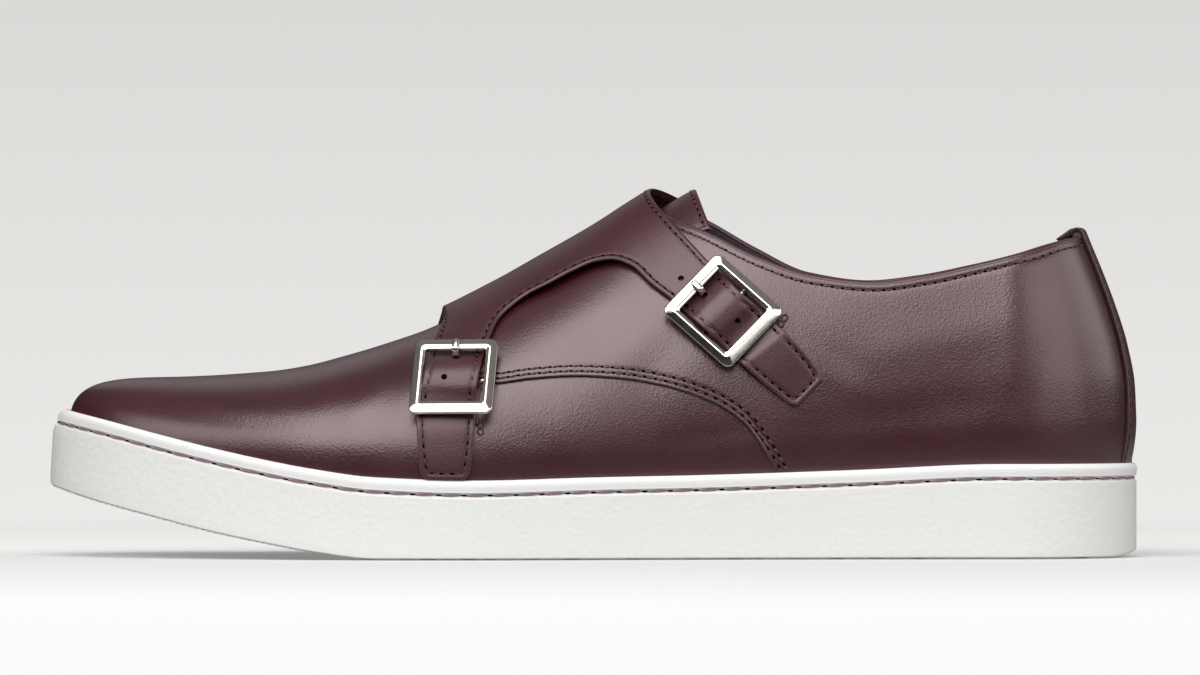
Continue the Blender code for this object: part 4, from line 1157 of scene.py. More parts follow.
# Each strap's two edges from the flap to the tip, seen from the lateral side.
STRAPS = {
    "front": table(
        "fore_x fore_z aft_x aft_z",
        (
            (-41.6, 63.5, -27.8, 61.0), (-43.4, 58.8, -28.9, 58.2), (-45.4, 51.0, -30.7, 50.2),
            (-46.7, 43.5, -31.6, 42.8), (-47.4, 38.6, -31.6, 38.2), (-47.0, 30.5, -32.1, 30.5),
            (-46.2, 23.9, -33.1, 23.6), (-44.8, 21.9, -34.3, 21.8),
        ),
    ),
    "rear": table(
        "fore_x fore_z aft_x aft_z",
        (
            (21.4, 70.8, 31.4, 81.5), (27.3, 65.6, 37.5, 75.3), (33.7, 59.7, 44.3, 69.0),
            (39.8, 54.0, 51.3, 62.9), (47.4, 47.2, 57.8, 56.2), (54.2, 42.0, 62.2, 50.2),
            (55.8, 41.8, 62.5, 48.7),
        ),
    ),
}
# Where each column of the flap crosses the ridge and meets the sewn margin, by where it ends below.
FLAP_COLUMNS = table(
    "low ridge margin",
    (
        (-41.6, -40.9, -44), (-27.8, -30, -31), (-18.4, -21.5, -22), (-5, -7, -7), (5.7, 4.7, 5),
        (10.5, 8.8, 10), (16, 12.0, 15), (21.4, 14.4, 20), (31.4, 18.2, 32),
    ),
)
# The strap's underside over the last, by distance from the buckle's bar towards the flap.
STRAP_RISE = table(
    "along rise",
    (
        (-32, 0.9), (-18, 1.0), (-13, 1.3), (-8, 1.3), (-5.8, 2.2), (-3, 3.9), (0, 4.6), (3, 4.2),
        (5.8, 2.5), (8, 1.2), (12, 1.0), (14, 0.8), (30, 0.8),
    ),
)
# The rear strap springs up again behind its buckle, and slopes down from there to its tip.
REAR_SPRING = table("along lift", ((-29, -0.5), (-15.2, 1.3), (-12.6, 0.35), (-11, 0.1), (-9, 0), (-7, 0)))
STRAP_FULL = 1.8  # from the last's side of the strap to its outer face, in the frame's solids
STRAP_WALL = 1.5
FRAME_RISE = 3.5
RIDGE_RISE, ROOT_RISE, MARGIN_RISE = 2.2, 0.8, 0.7
SCALLOP_RISE = 1.5  # more room under the free edge between the straps
FRONT_TURNED, FRONT_LEFT = 1.8, 0.1  # the front edge turns down over this far, to this share of its rise
FRONT_HOLDS, FRONT_FADES = 0.55, 0.4  # shares of the way down to the strap: it holds, and then it fades
MARGIN_TURN, MARGIN_MORE = 0.50, 0.07  # the sewn margin's turn in front, and how much more it is behind


# %% Where a buckle sits
def buckle_seat(name):
    """The buckle's middle on the last, and its directions: across the strap, up it, and outwards."""
    strap = STRAPS[name]
    seen = np.array(BUCKLES[name])
    middle = np.stack([strap["fore_x"] + strap["aft_x"], strap["fore_z"] + strap["aft_z"]], axis=1) / 2
    direction = unit(middle[1] - middle[3])
    at, turn = place(*seen, LATERAL, FRAME_RISE)
    normal = normal_at(at, turn)
    low, high = (surface(*place(*(seen + reach * direction), LATERAL, FRAME_RISE)) for reach in (-4, 4))
    up = high - low
    up = unit(up - normal * (up @ normal))
    lean = np.radians(BUCKLE_TURN[name])
    up = up * np.cos(lean) - np.cross(up, normal) * np.sin(lean)
    return surface(at, turn), np.cross(up, normal), up, normal


def on_buckle(name, across, along, height):
    """Points given in a buckle's own directions, from its middle."""
    middle, side, up, normal = buckle_seat(name)
    parts = ((across, side), (along, up), (height, normal))
    return middle + sum(np.asarray(value, float)[..., None] * axis for value, axis in parts)


# %% The three grids
STRAP_EDGE = (0, 0.15, 0.35, 0.6, 0.9, 1.2, 1.5, 1.8, 2.2, 2.7)
STRAP_WIDE, STRAP_LONG = 14.4, 44  # about, to turn the edge's distances into shares
half_steps = np.concatenate([STRAP_EDGE, np.linspace(STRAP_EDGE[-1], STRAP_WIDE / 2, 7)[1:]]) / STRAP_WIDE
ACROSS = np.concatenate([half_steps, 1 - half_steps[-2::-1]])
TIP_STEPS = 1 - np.array(STRAP_EDGE[::-1]) / STRAP_LONG


def strap_grid(name):
    """A strap's middle face: rows from the flap to the tip, columns between its two edges. A raised point
    is seen elsewhere than its foot, so the rise and the place settle together over a few rounds."""
    strap = STRAPS[name]
    middle, _, up, _ = buckle_seat(name)
    row = np.linspace(0, 1, len(strap["fore_x"]))
    share = np.concatenate([np.linspace(0, TIP_STEPS[0], 66)[:-1], TIP_STEPS])
    edges = {key: smooth(share, row, strap[key])[:, None] for key in strap}
    x = edges["fore_x"] + (edges["aft_x"] - edges["fore_x"]) * ACROSS
    z = edges["fore_z"] + (edges["aft_z"] - edges["fore_z"]) * ACROSS
    rise = np.full(len(share), ROOT_RISE)
    for _ in range(AIM_ROUNDS):
        seat = surface(*place(x.mean(axis=1), z.mean(axis=1), LATERAL, rise + STRAP_FULL))
        along = (seat - middle) @ up
        rise = read(STRAP_RISE, "rise", along, by="along")
        if name == "rear":
            rise = rise + np.where(along < -7, read(REAR_SPRING, "lift", along, by="along"), 0)
    rise[0] = ROOT_RISE
    rise = np.repeat(rise[:, None], len(ACROSS), axis=1) + STRAP_FULL
    at, turn = place(x, z, LATERAL, rise)
    return lifted(at, turn, rise)


def flap_grid():
    """The flap: rows from its sewn margin over the ridge to its lower edge, columns from front to back.
    Each column's x is a parabola in turn through those three places."""
    roots = []
    for name in ("front", "rear"):
        strap = STRAPS[name]
        ends = [np.array([strap[edge + "_x"][0], strap[edge + "_z"][0]]) for edge in ("fore", "aft")]
        roots.append(ends[0] + (ends[1] - ends[0]) * ACROSS[:, None])
    curve = np.concatenate([roots[0][-1:], np.stack([SCALLOP["x"], SCALLOP["z"]], axis=1), roots[1][:1]])
    run = run_of(curve)
    at = np.linspace(0, run[-1], 74)[1:-1]
    between = np.stack([smooth(at, run, curve[:, 0]), smooth(at, run, curve[:, 1])], axis=1)
    lower = np.concatenate([roots[0], between, roots[1]])
    low_x, low_turn = place(*lower.T, LATERAL, ROOT_RISE + STRAP_FULL)
    length = run_of(lower)
    column = length / length[-1]
    ridge_x = read(FLAP_COLUMNS, "ridge", lower[:, 0], by="low")
    margin_x = read(FLAP_COLUMNS, "margin", lower[:, 0], by="low")
    margin_turn = MARGIN_TURN + MARGIN_MORE * column
    bend = ((margin_x - ridge_x) / margin_turn - (low_x - ridge_x) / low_turn) / (margin_turn - low_turn)
    drift = (margin_x - ridge_x) / margin_turn - bend * margin_turn

    def path(share):
        turn = margin_turn + (low_turn - margin_turn) * share
        return ridge_x + drift * turn + bend * turn**2, turn

    x, turn, _, _ = fill(path, EDGE_STEPS[:12], EDGE_STEPS[:12], 62)
    free = np.clip((np.arange(len(lower)) - len(ACROSS) + 1) / (len(lower) - 2 * len(ACROSS) + 1), 0, 1)
    low_rise = ROOT_RISE + SCALLOP_RISE * np.sin(np.pi * free) ** 2
    rise = RIDGE_RISE + (MARGIN_RISE - RIDGE_RISE) * ease(turn / margin_turn)
    rise = rise + (low_rise - RIDGE_RISE) * ease(turn / low_turn)
    from_front = np.concatenate([np.zeros((len(x), 1)), np.cumsum(np.diff(x, axis=1), axis=1)], axis=1)
    turned = (1 - FRONT_LEFT) * (1 - ease(from_front / FRONT_TURNED))
    turned = turned * (1 - ease((turn / low_turn - FRONT_HOLDS) / FRONT_FADES))
    rise = rise * (1 - turned) + STRAP_FULL
    return lifted(x, turn, rise)


# %% Border distances and the merged sheet
def border_of(mesh):
    """A mesh's open border as one loop of point numbers: edges used by one face, followed round."""
    work = bmesh.new()
    work.from_mesh(mesh)
    work.verts.ensure_lookup_table()
    pairs = {}
    for edge in work.edges:
        if edge.is_boundary:
            a, b = (v.index for v in edge.verts)
            pairs.setdefault(a, []).append(b)
            pairs.setdefault(b, []).append(a)
    loop = [min(pairs)]
    loop.append(pairs[loop[0]][0])
    while loop[-1] != loop[0]:
        ahead = [n for n in pairs[loop[-1]] if n != loop[-2]]
        loop.append(ahead[0])
    work.free()
    return np.array(loop[:-1])


def vectors_of(source, key):
    found = np.empty(len(source) * 3)
    source.foreach_get(key, found)
    return found.reshape(-1, 3)


def distance_to(points, line):
    """From each point to the nearest place on a closed line, segment by segment."""
    start, step = line, np.roll(line, -1, axis=0) - line
    best = np.full(len(points), 1e9)
    for part in np.array_split(np.arange(len(points)), max(len(points) // 400, 1)):
        away = points[part][:, None] - start[None]
        share = np.clip(np.einsum("pek,ek->pe", away, step) / np.einsum("ek,ek->e", step, step), 0, 1)
        gap = away - share[..., None] * step[None]
        best[part] = np.sqrt(np.einsum("pek,pek->pe", gap, gap).min(axis=1))
    return best


def border_facts(mesh):
    """The mesh's border, its points in millimetres, their normals and their distances to the border."""
    border = border_of(mesh)
    points = vectors_of(mesh.vertices, "co") / MM
    return border, points, vectors_of(mesh.vertex_normals, "vector"), distance_to(points, points[border])


def pressed(mesh, points, normal, relief):
    """Moves a mesh's points along their normals, and gives where they are then."""
    moved = points + relief[:, None] * normal
    mesh.vertices.foreach_set("co", (moved * MM).ravel())
    mesh.update()
    return moved


# %% Flap and straps
STRAP_STITCH = 1.55

grids = [flap_grid(), strap_grid("front"), strap_grid("rear")]
body = joined([open_body(points) for points in grids])
on_strap = np.concatenate([np.full(points.size // 3, float(k > 0)) for k, points in enumerate(grids)])
flap_mesh = make_mesh("flap_and_straps", [body], weld=0.02, fields={"strap": on_strap})
border, points, normal, edge_gap = border_facts(flap_mesh)
tag = np.empty(len(points), np.float32)
flap_mesh.attributes["strap"].data.foreach_get("value", tag)
off_strap = 1 - tag
relief = rolled(edge_gap, 0.5 + 0.6 * off_strap, 0.32 + 0.35 * off_strap)
relief = relief + channel(edge_gap, STRAP_STITCH, 0.2)
moved = pressed(flap_mesh, points, normal, relief)
# Darker in the stitch channel, as painted shade, and at the border: dye on the cut edge, painted shade where
# it rolls over.
set_field(flap_mesh, "edge", 0.25 * bell(edge_gap, STRAP_STITCH, 0.6) + 0.2 * bell(edge_gap, 0, 1.0))
set_field(flap_mesh, "raw", np.where(edge_gap < 0.08, tag, 0.0))
flap = make_piece("flap_and_straps", flap_mesh, strap_calf, "strap_flap", wall=STRAP_WALL)

loop = np.concatenate([border, border[:2]])
edge_line, edge_normal = points[loop], normal[loop]
across = unit(np.cross(edge_normal, np.gradient(edge_line, axis=0)))
deep = points[edge_gap > 1.0]  # leather well inside the border, to tell its side from the open one
reach = [
    np.linalg.norm(deep[None] - (edge_line + way * across)[::40, None], axis=2).min(axis=1).sum()
    for way in (1, -1)
]
towards = edge_line + across * np.sign(reach[1] - reach[0])
sew(*inset_line(edge_line, edge_normal, towards, STRAP_STITCH), moved)
print("flap and straps faces:", len(flap_mesh.polygons), "border points:", len(border))

# %% Punched holes
# Each hole is a small cylinder cut through the leather: two spare ones on each strap, and the prong's own.
HOLE_RADIUS = 0.85
HOLES = {"front": ((-39.7, 48.4), (-35.8, 60.5)), "rear": ((39.5, 64.5), (24.1, 77.0))}
PRONG_HOLE_AT, PRONG_HOLE_RADIUS = 7.1, 1.1


def punch(middle, direction, radius):
    """A short cylinder along a direction, as a body."""
    line = middle + np.linspace(-5, 5, 3)[:, None] * direction
    return tube(line, radius, sides=20, guide=(0.31, 0.05, 0.95))


punches = []
for name, places in HOLES.items():
    for x, z in places:
        at, turn = place(x, z, LATERAL, 4.0)
        punches.append(punch(lifted(at, turn, 4.0), normal_at(at, turn), HOLE_RADIUS))
    middle, _, up, outward = buckle_seat(name)
    punches.append(punch(middle + PRONG_HOLE_AT * up + 2.5 * outward, outward, PRONG_HOLE_RADIUS))
cutter = in_scene("punches", make_mesh("punches", punches))
cut = flap.modifiers.new("Punch", "BOOLEAN")
cut.object = cutter
cut.solver = "MANIFOLD"
bpy.context.view_layer.update()
whole = bpy.data.meshes.new_from_object(flap.evaluated_get(bpy.context.evaluated_depsgraph_get()))
flap.modifiers.clear()
flap.data = whole
bpy.data.objects.remove(cutter)
whole.set_sharp_from_angle(angle=SHARP)
print("after punching:", len(whole.polygons), "faces")

# %% [markdown]
# ## Tongue
#
# The tongue is a soft leaf under the throat. Only its top shows, a point that stands up between the flap
# and the collar, with a turned edge and one row of stitches.

# %% Tongue
TONGUE_RISE, TONGUE_WALL, TONGUE_ROW = -2.5, 1.9, 1.5
TONGUE_FRONT, TONGUE_TOP, TONGUE_CORNER = -50.0, 27.2, 4.9
TONGUE_TURN, TONGUE_MORE = 0.42, 0.18  # half its width in front, as a turn, and how much more at its top
TONGUE_HALF, TONGUE_LONG = 24, 80  # about, to turn the edge's distances into shares

side_steps = np.array(EDGE_STEPS[:9]) / TONGUE_HALF
reach = np.concatenate([-1 + side_steps, np.linspace(-0.92, 0.92, 44)[1:-1], 1 - side_steps[::-1]])[None, :]
steps = np.concatenate([np.linspace(0, 0.97, 60), 1 - np.array(EDGE_STEPS[:8])[::-1] / TONGUE_LONG])
along = steps[:, None]
top = TONGUE_TOP + TONGUE_CORNER * reach**2
x = TONGUE_FRONT + (top - TONGUE_FRONT) * along
turn = (TONGUE_TURN + TONGUE_MORE * along) * reach
tongue_points = lifted(x, turn, TONGUE_RISE)
tongue_mesh = make_mesh("tongue_leaf", [open_body(tongue_points)])
_, points, normal, edge_gap = border_facts(tongue_mesh)
relief = rolled(edge_gap, 1.0, 0.6) + channel(edge_gap, TONGUE_ROW, 0.15)
moved = pressed(tongue_mesh, points, normal, relief)
# Darker in the stitch channel: painted shade.
set_field(tongue_mesh, "edge", 0.5 * bell(edge_gap, TONGUE_ROW, 0.7))
make_piece("tongue_leaf", tongue_mesh, strap_calf, "tongue", wall=TONGUE_WALL)
top_edge = tongue_points[-1], normal_at(x[-1], turn[-1])
sew(*inset_line(*top_edge, tongue_points[-12], TONGUE_ROW), moved)

# %% [markdown]
# ## Heel strip
#
# A narrow strip covers the seam where the two quarters meet at the back. It is stitched down both sides,
# and folds over the collar at the top as a small tab, with a padded bead inside the fold.

# %% Heel strip
STRIP = table("z half", ((27, 15.0), (44, 13.6), (62, 12.4), (78, 11.4), (90, 10.5)))
STRIP_LIFT, STRIP_WALL = 1.5, 1.15
STRIP_LOW, STRIP_TOP = 22.0, 88.8
TAB_RADIUS, TAB_LEG = 1.9, 4.6  # over the collar's bead, and down inside it
TAB_START, TAB_END = np.radians(22), np.radians(124)  # the way it runs, from upright
TAB_BEAD_RADIUS, TAB_BEAD_DROP = 1.15, 0.6
STRIP_ROW = 1.6
STRIP_HALF = 12.5  # about, to turn the edge's distances into shares


def heel_face(reach, z):
    """Points round the heel's back at these heights: x closes as a superellipse in the distance y from
    the middle, and leans forward as the back does."""
    y = read(STRIP, "half", z, by="z") * reach
    turn = np.abs(turn_at(np.full(1, HEEL_START), np.maximum(z, LAST["widest"][-1]), MEDIAL))
    out = np.sin(turn) ** (2 / LAST["crown"][-1])
    half = np.where(y < 0, LAST["lateral"][-1], LAST["medial"][-1]) - UPPER_INSET
    depth = LAST["widest"][-1] - SOLE["floor"][-1]
    tuck = TUCK * depth * (np.clip(LAST["widest"][-1] - z, 0, None) / depth) ** 2
    behind = UPPER_BACK - HEEL_START + read(BACK, "lean", z, by="z") - tuck
    x = HEEL_START + behind * closing(np.abs(y) / (half * out - tuck), HEEL_ROUND)
    return np.stack([x, y, z + 0 * y], axis=-1)


side_steps = np.array(EDGE_STEPS[:12]) / STRIP_HALF
reach = np.concatenate([-1 + side_steps, np.linspace(-1 + side_steps[-1], 1 - side_steps[-1], 22)[1:-1],
                        1 - side_steps[::-1]])[None, :]
z = np.linspace(STRIP_LOW, STRIP_TOP, 84)
base = heel_face(reach, z[:, None])
normal = unit(np.cross(np.gradient(base, axis=1), np.gradient(base, axis=0)))
outer = base + STRIP_LIFT * normal
# The tab: an arc over the bead, then a short straight leg, each drawn inwards and upwards of the top row.
sweep = np.linspace(TAB_START, TAB_END, 13)[1:]
leg = np.linspace(0, TAB_LEG, 7)[1:]
inwards = np.concatenate([TAB_RADIUS * (np.cos(TAB_START) - np.cos(sweep)),
                          TAB_RADIUS * (np.cos(TAB_START) - np.cos(TAB_END)) + leg * np.sin(TAB_END)])
upwards = np.concatenate([TAB_RADIUS * (np.sin(sweep) - np.sin(TAB_START)),
                          TAB_RADIUS * (np.sin(TAB_END) - np.sin(TAB_START)) + leg * np.cos(TAB_END)])
level = unit(normal[-1] * (1, 1, 0))
tab = outer[-1] - inwards[:, None, None] * level + upwards[:, None, None] * np.array((0, 0, 1))
outer = np.concatenate([outer, tab])
normal = unit(np.cross(np.gradient(outer, axis=1), np.gradient(outer, axis=0)))
strip_mesh = make_mesh("heel_counter_strip", [open_body(outer)])
left, right = along_columns(outer)
side_gap = np.minimum(left, right).ravel()
relief = rolled(side_gap, 0.5, 0.35) + channel(side_gap, STRIP_ROW, 0.2)
moved = pressed(strip_mesh, outer.reshape(-1, 3), normal.reshape(-1, 3), relief)
# Darker in the stitch channels, as painted shade, and a painted shadow line along both edges, where the strip
# stands off the quarter.
dark = 0.5 * bell(side_gap, STRIP_ROW, 0.7) + 0.8 * bell(side_gap, 0, 0.3)
set_field(strip_mesh, "edge", np.clip(dark, 0, 1))
make_piece("heel_counter_strip", strip_mesh, strap_calf, "heel_strip", wall=STRIP_WALL)
# The collar's padded bead, which fills the fold.
bead = outer[len(z) - 1] - TAB_RADIUS * np.cos(TAB_START) * level
bead = bead[2:-2] - (0, 0, TAB_RADIUS * np.sin(TAB_START) + TAB_BEAD_DROP)
make_piece("heel_collar_bead", [tube(bead, TAB_BEAD_RADIUS)], strap_calf)
rows = slice(0, len(z))
for column, inner in ((0, 14), (-1, -15)):
    sew(*inset_line(outer[rows, column], normal[rows, column], outer[rows, inner], STRIP_ROW), moved)
print("heel strip:", STRIP_TOP - STRIP_LOW, "mm tall")

# %% [markdown]
# ## Keepers
#
# Under each strap's tail a small tab of calf ties the buckle's bar to the quarter, and ends in a bar of
# tight stitches beside the strap.

# %% Keepers
KEEPER_WALL = 0.7
KEEPER_RISE = {"front": 0.85, "rear": 1.65}
KEEPER_FROM, KEEPER_TO, KEEPER_HALF = 1.5, -13.0, 7.0  # up the strap from the buckle's bar, and across it

for name, rise in KEEPER_RISE.items():
    middle, across, up, _ = buckle_seat(name)
    along = np.linspace(KEEPER_FROM, KEEPER_TO, 30)[:, None, None]
    aside = np.linspace(-KEEPER_HALF, KEEPER_HALF, 30)[None, :, None]
    target = middle + along * up + aside * across
    grid = lifted(*place(target[..., 0], target[..., 2], LATERAL, rise), rise)[:, ::-1]
    make_piece("keeper_tab_" + name, [open_body(grid)], strap_calf, "keeper_" + name, wall=KEEPER_WALL)

# %% [markdown]
# ## Buckles
#
# Each buckle is a square cast frame with a flat polished face between two bevels, a round bar across its
# back, and a prong that hooks on the bar and lies over the frame. The frame is a profile carried round a
# rounded square; the outer corners are rounder than the inner ones.

# %% Frame
BUCKLE_LONG, BUCKLE_WIDE, BUCKLE_CORNER = 24.6, 22.8, 2.2
WINDOW_LONG, WINDOW_WIDE, WINDOW_CORNER = 17.4, 16.6, 0.7
FRAME_THICK, BAR_RISE, BAR_RADIUS, POST_RADIUS = 1.8, 2.2, 0.6, 0.65
# share of the way in from the outer edge, and height over the frame's back as a share of its thickness
FRAME_PROFILE = table(
    "inward height",
    (
        (0.06, 0.0), (0.02, 0.05), (0.0, 0.14), (0.0, 0.40), (0.012, 0.48), (0.04, 0.54), (0.10, 0.60),
        (0.52, 0.92), (0.57, 0.96), (0.62, 0.985), (0.66, 0.99), (0.70, 0.985), (0.74, 0.965), (0.93, 0.86),
        (0.97, 0.82), (0.99, 0.76), (1.0, 0.66), (1.0, 0.14), (0.98, 0.05), (0.94, 0.0),
    ),
)


def rounded_square(long, wide, radius, per_corner=14, per_side=6):
    """A loop of points, the same number for any size, so that two loops can be joined."""
    arc = np.linspace(0, np.pi / 2, per_corner)
    loop = []
    for turns, (sx, sy) in enumerate(((1, 1), (-1, 1), (-1, -1), (1, -1))):
        a = arc + turns * np.pi / 2
        middle = np.array([sx * (wide / 2 - radius), sy * (long / 2 - radius)])
        loop.append(middle + radius * np.stack([np.cos(a), np.sin(a)], axis=1))
    corners = np.concatenate(loop)
    share = np.linspace(0, 1, per_side + 2)[1:-1, None]
    pieces = []
    for k in range(4):
        start, stop = corners[len(arc) * (k + 1) - 1], corners[len(arc) * (k + 1) % len(corners)]
        pieces += [loop[k], start + (stop - start) * share]
    return np.concatenate(pieces)


def frame_body(name):
    """The frame: its profile's points lie between the outer and the inner loop."""
    outside = rounded_square(BUCKLE_LONG, BUCKLE_WIDE, BUCKLE_CORNER)
    inside = rounded_square(WINDOW_LONG, WINDOW_WIDE, WINDOW_CORNER)
    inward = FRAME_PROFILE["inward"][:, None, None]
    flat = outside + (inside - outside) * inward
    height = FRAME_RISE + FRAME_THICK * FRAME_PROFILE["height"][:, None] + 0 * flat[..., 0]
    points = on_buckle(name, flat[..., 0], flat[..., 1], height)
    return points.reshape(-1, 3), quads(looped(wrapped(grid_index(*points.shape[:2]))))


# %% Bar, posts and prong
POST_INSET, POST_SUNK = 1.2, 0.5  # from the frame's outer edge, and into the frame
HOOK_START, HOOK_END = 200, 70  # the prong's way round the bar, in degrees
HOOK_GAP, HOOK_HALF = 0.3, 0.4  # from the bar to the wire, and half the wire there
# From the bar over the frame: up the strap, and off the last.
PRONG_RUN = (
    (1.3, 3.1), (3.0, 2.0), (5.0, 1.1), (6.2, 1.2), (7.1, 3.0), (7.6, 5.0), (8.5, 6.0), (11.0, 5.8),
    (11.6, 5.5),
)
PRONG_HIGH = {"front": 0.5, "rear": 0.45}  # half its height, and half its width, where it shows
PRONG_HALF = {"front": 0.98, "rear": 0.95}
PRONG_SHOWS, PRONG_EASE = 5.5, 2  # it grows broad from the first, over the second
PRONG_TIP, PRONG_THINS = 0.9, 0.8  # it thins over the last of its length by this share
METAL_SIDES = 16


def bar_bodies(name):
    """A round bar across the frame's back and the two posts that carry it."""
    post = BUCKLE_WIDE / 2 - POST_INSET
    share = np.linspace(-1, 1, 13)
    bar = on_buckle(name, share * post, 0 * share, BAR_RISE + 0 * share)
    bodies = [tube(bar, BAR_RADIUS, METAL_SIDES, guide=buckle_seat(name)[3])]
    for side in (-1, 1):
        height = np.linspace(BAR_RISE - BAR_RADIUS, FRAME_RISE + POST_SUNK, 6)
        line = on_buckle(name, side * post + 0 * height, 0 * height, height)
        bodies.append(tube(line, POST_RADIUS, METAL_SIDES, guide=buckle_seat(name)[2]))
    return bodies


def prong_body(name):
    """A wire that hooks over the bar, runs under the strap, comes up through it and lies over the frame,
    flattened across: its section is an ellipse."""
    wrap = BAR_RADIUS + HOOK_GAP + HOOK_HALF
    sweep = np.linspace(np.radians(HOOK_START), np.radians(HOOK_END), 8)
    hook = np.stack([wrap * np.cos(sweep), BAR_RISE + wrap * np.sin(sweep)], axis=1)
    run = np.concatenate([hook, PRONG_RUN])
    step = run_of(run)
    at = np.linspace(0, step[-1], 70)
    run = np.stack([smooth(at, step, run[:, 0]), smooth(at, step, run[:, 1])], axis=1)
    line = np.stack([0 * at, run[:, 0], run[:, 1]], axis=1)
    end = 1 - np.clip((at - step[-1] + PRONG_TIP) / PRONG_TIP, 0, 1) ** 2 * PRONG_THINS
    points, faces = tube(line, end, METAL_SIDES)
    middle = np.concatenate([np.repeat(line, METAL_SIDES, axis=0), line[[0, -1]]])
    off = points - middle
    # The part that shows is broad; the hook stays as thin as the room behind the strap.
    shown = ease((run[:, 0] - PRONG_SHOWS) / PRONG_EASE)
    broad = np.concatenate([np.repeat(shown, METAL_SIDES), [0, 1]])[:, None]
    off[:, :1] *= HOOK_HALF + (PRONG_HALF[name] - HOOK_HALF) * broad
    off[:, 1:] *= PRONG_HIGH[name] * (0.8 + 0.2 * broad)
    return on_buckle(name, *(middle + off).T), faces


for name in BUCKLES:
    metal = [frame_body(name), *bar_bodies(name)]
    make_piece(f"buckle_frame_{name}", metal, nickel, f"buckle_{name}_frame", "polished_nickel", weld=0.002)
    make_piece(f"buckle_prong_{name}", [prong_body(name)], nickel, f"buckle_{name}_prong", "polished_nickel")
print("buckles:", ", ".join(BUCKLES))

# %% [markdown]
# ## Sole stitch and bar tacks
#
# A heavy lockstitch in a lighter thread runs in the sole's groove, all round, with the painted shadow of
# a hole between every two stitches. On the quarter, beside each strap's tail, a tack of two tight loops
# holds the keeper.

# %% Sole stitch
SOLE_PITCH, SOLE_STITCH = 7.0, 5.9
CORD_OUT = 0.25  # from the groove's bottom

groove = looped(sole_ring(GROOVE_DEEP - CORD_OUT, "lip", -GROOVE_DOWN))
facing = looped(np.pad(-SOLE_LOOP[3], ((0, 0), (0, 1))))
cord = stitches(groove, facing, SOLE_PITCH, long=SOLE_STITCH, thick=0.26, proud=0.1, slant=0.05)
cords = make_piece("sole_stitching", [cord], sole_thread, "", "white_rubber")
# Painted shadows between the stitches, for the groove's shade over each needle hole.
holes = hole_shadow_dots(groove - 0.05 * facing, facing, SOLE_PITCH, radius=0.27, long=3.4)
make_piece("sole_stitch_hole_shadows", [holes], needle_hole, "", "white_rubber")
print("sole stitch faces:", len(cords.data.polygons))

# %% Bar tacks
BAR_TACKS = ((-30.1, 35.7, 90, 0.0), (51.9, 64.8, 60, 1.0))  # x, z, its run in degrees, on the quarter or not
TACK_LONG, TACK_WIDE, TACK_APART, TACK_LIFT = 0.85, 0.75, 0.95, 0.12

angle = np.linspace(0, 2 * np.pi, 20, endpoint=False)
for x, z, degrees, raised in BAR_TACKS:
    lean = np.radians(degrees)
    rise = quarter_rise(x) * raised + TACK_LIFT
    for offset in (-TACK_APART, TACK_APART):
        long, wide = offset + TACK_LONG * np.cos(angle), TACK_WIDE * np.sin(angle)
        seen_x = x + long * np.cos(lean) - wide * np.sin(lean)
        seen_z = z + long * np.sin(lean) + wide * np.cos(lean)
        loop = lifted(*place(seen_x, seen_z, LATERAL, rise), rise)
        sewn.append(tube(loop, 0.27, sides=8, closed=True))

# %% [markdown]
# ## Tread
#
# Under the cup a thinner plate of rubber takes the wear. It is covered with small six-sided studs, and
# has a finely ribbed border that shows as a serrated line where the toe lifts off the floor.

# %% Tread plate, studs and ribs
PLATE_INSET, PLATE_LOW, PLATE_HIGH = 8.3, 0.75, 3.2
STUD_GAP, STUD_RADIUS = 6.4, 2.7
STUD_EDGE, STUD_ENDS, STUD_ROOT = 4.5, 5, 0.1  # the plate's bare border, and how deep the studs start in it
RIB_PITCH, RIB_WIDE, RIB_LONG = 2.0, 1.5, 4.6
RIB_HIGH, RIB_HIGHER = 0.65, 0.32  # and how much higher round the toe
RIM_INSET, RIM_OUT, RIM_ROOT = 2.9, 2.3, 1.05  # its inset, how much less round the toe, and over the base
RIM_LIFTS, RIM_EASE = -62.0, 20  # the rim comes into sight in front of the first, over the second
BLOCK_TOP = 0.88  # a block's top, as a share of its foot

plate = stacked([
    sole_ring(PLATE_INSET + 0.4, "base", PLATE_LOW), sole_ring(PLATE_INSET, "base", PLATE_LOW + 0.4),
    sole_ring(PLATE_INSET, "base", PLATE_HIGH),
])


def boxes(middles, ahead, aside, up, size, low):
    """Many six-sided or four-sided blocks as one body each: rings of corners at the foot and the top."""
    count = len(size)
    spread = size[None, :, :1] * ahead[:, None] + size[None, :, 1:] * aside[:, None]
    points = middles[:, None] + np.concatenate([spread, BLOCK_TOP * spread + low * up], axis=1)
    ring, after = np.arange(count), np.roll(np.arange(count), -1)
    side = np.stack([ring, after, after + count, ring + count], axis=1)
    fan = np.arange(1, count - 1)
    under = np.stack([0 * fan, fan + 1, fan, fan], axis=1)
    over = np.stack([0 * fan, fan, fan + 1, fan + 1], axis=1) + count
    faces = np.concatenate([side, under, over])
    shifts = np.arange(len(middles))[:, None, None] * (2 * count)
    return points.reshape(-1, 3), (faces[None] + shifts).reshape(-1, 4)


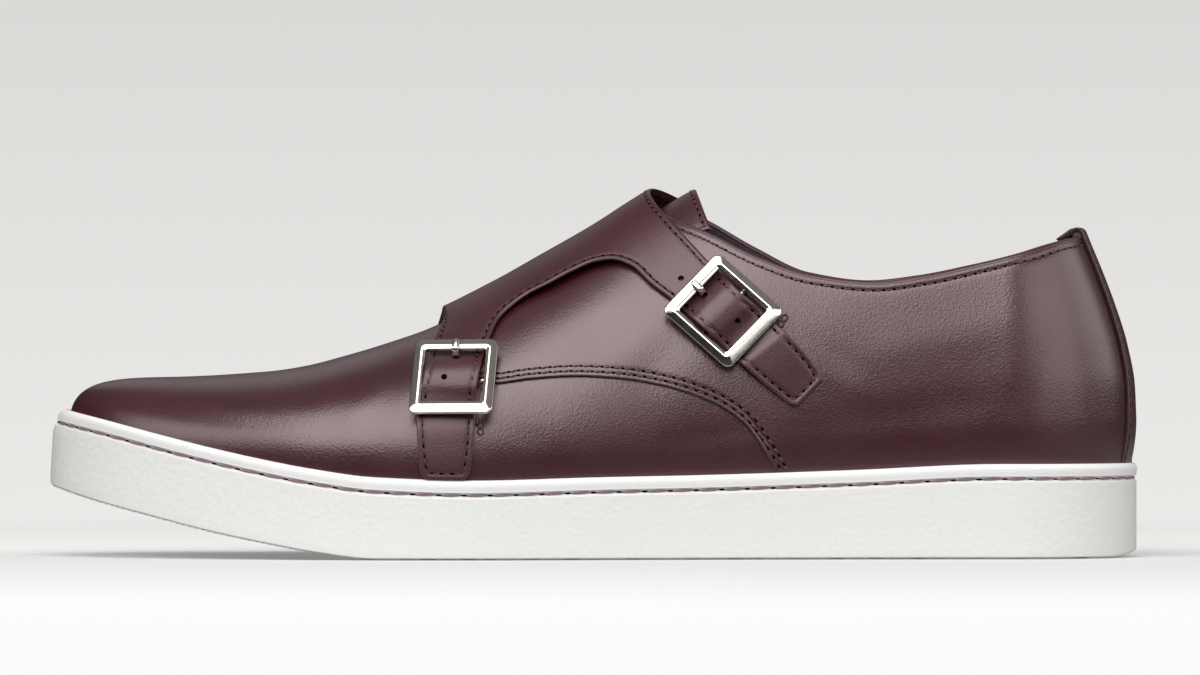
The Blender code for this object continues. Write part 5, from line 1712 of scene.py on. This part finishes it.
column, row = np.mgrid[-26:27, -10:11]
stud_x = (column * STUD_GAP * np.sqrt(3) / 2).ravel()
stud_y = ((row + 0.5 * (column % 2)) * STUD_GAP).ravel()
room = np.where(
    stud_y < read(LAST, "centre", stud_x),
    half_width(stud_x, LATERAL, SOLE_TIP, SOLE_BACK, 0), half_width(stud_x, MEDIAL, SOLE_TIP, SOLE_BACK, 0),
)
ends = np.minimum(stud_x - SOLE_TIP, SOLE_BACK - stud_x)
kept = np.abs(stud_y - read(LAST, "centre", stud_x)) < room - PLATE_INSET - STUD_EDGE
kept &= ends > PLATE_INSET + STUD_ENDS
stud_x, stud_y = stud_x[kept], stud_y[kept]
stud_z = read(SOLE, "base", stud_x)
slope = (read(SOLE, "base", stud_x + 0.5) - read(SOLE, "base", stud_x - 0.5))[:, None]
ahead = unit(np.concatenate([np.ones_like(slope), 0 * slope, slope], axis=1))
aside = np.tile((0.0, 1.0, 0.0), (len(stud_x), 1))
down = -np.cross(ahead, aside)
stud_high = PLATE_LOW + STUD_ROOT
middles = np.stack([stud_x, stud_y, stud_z], axis=1) - down * stud_high
corner = np.linspace(0, 2 * np.pi, 6, endpoint=False)
hexagon = STUD_RADIUS * np.stack([np.cos(corner), np.sin(corner)], axis=1)
studs = boxes(middles, ahead, aside, down[:, None], hexagon, stud_high)

lifting = ease((RIM_LIFTS - SOLE_LOOP[0]) / RIM_EASE)  # 1 round the toe
rim = looped(sole_ring(RIM_INSET - RIM_OUT * lifting, "base", RIM_ROOT))
spots, toward = evenly(rim, RIB_PITCH, -facing)
along, down, toward = turned_to(spots, toward).swapaxes(0, 1)
down = unit(down)
down *= -np.sign(down[:, 2:])
bar_shape = np.array([(-0.5, 0), (0.5, 0), (0.5, 1), (-0.5, 1)]) * (RIB_WIDE, RIB_LONG)
rib_high = RIB_HIGH + RIB_HIGHER * ease((RIM_LIFTS - spots[:, :1, None]) / RIM_EASE)
ribs = boxes(spots, along, toward, down[:, None], bar_shape, rib_high)
make_piece("tread", [plate, studs, ribs], tread_rubber_lightened, "outsole", "white_rubber", sharp=0.5)
print("tread studs:", len(stud_x), "ribs:", len(spots))

# %% [markdown]
# ## All the stitches
#
# The rows that each panel left behind become one piece, with one finish.

# %% Thread
rows = make_piece("upper_stitching", sewn, thread)
# The needle holes' painted shadows, as a piece of their own.
make_piece("hole_shadow_dots", shaded_hole_rows, needle_hole)
print("stitch faces:", len(rows.data.polygons))
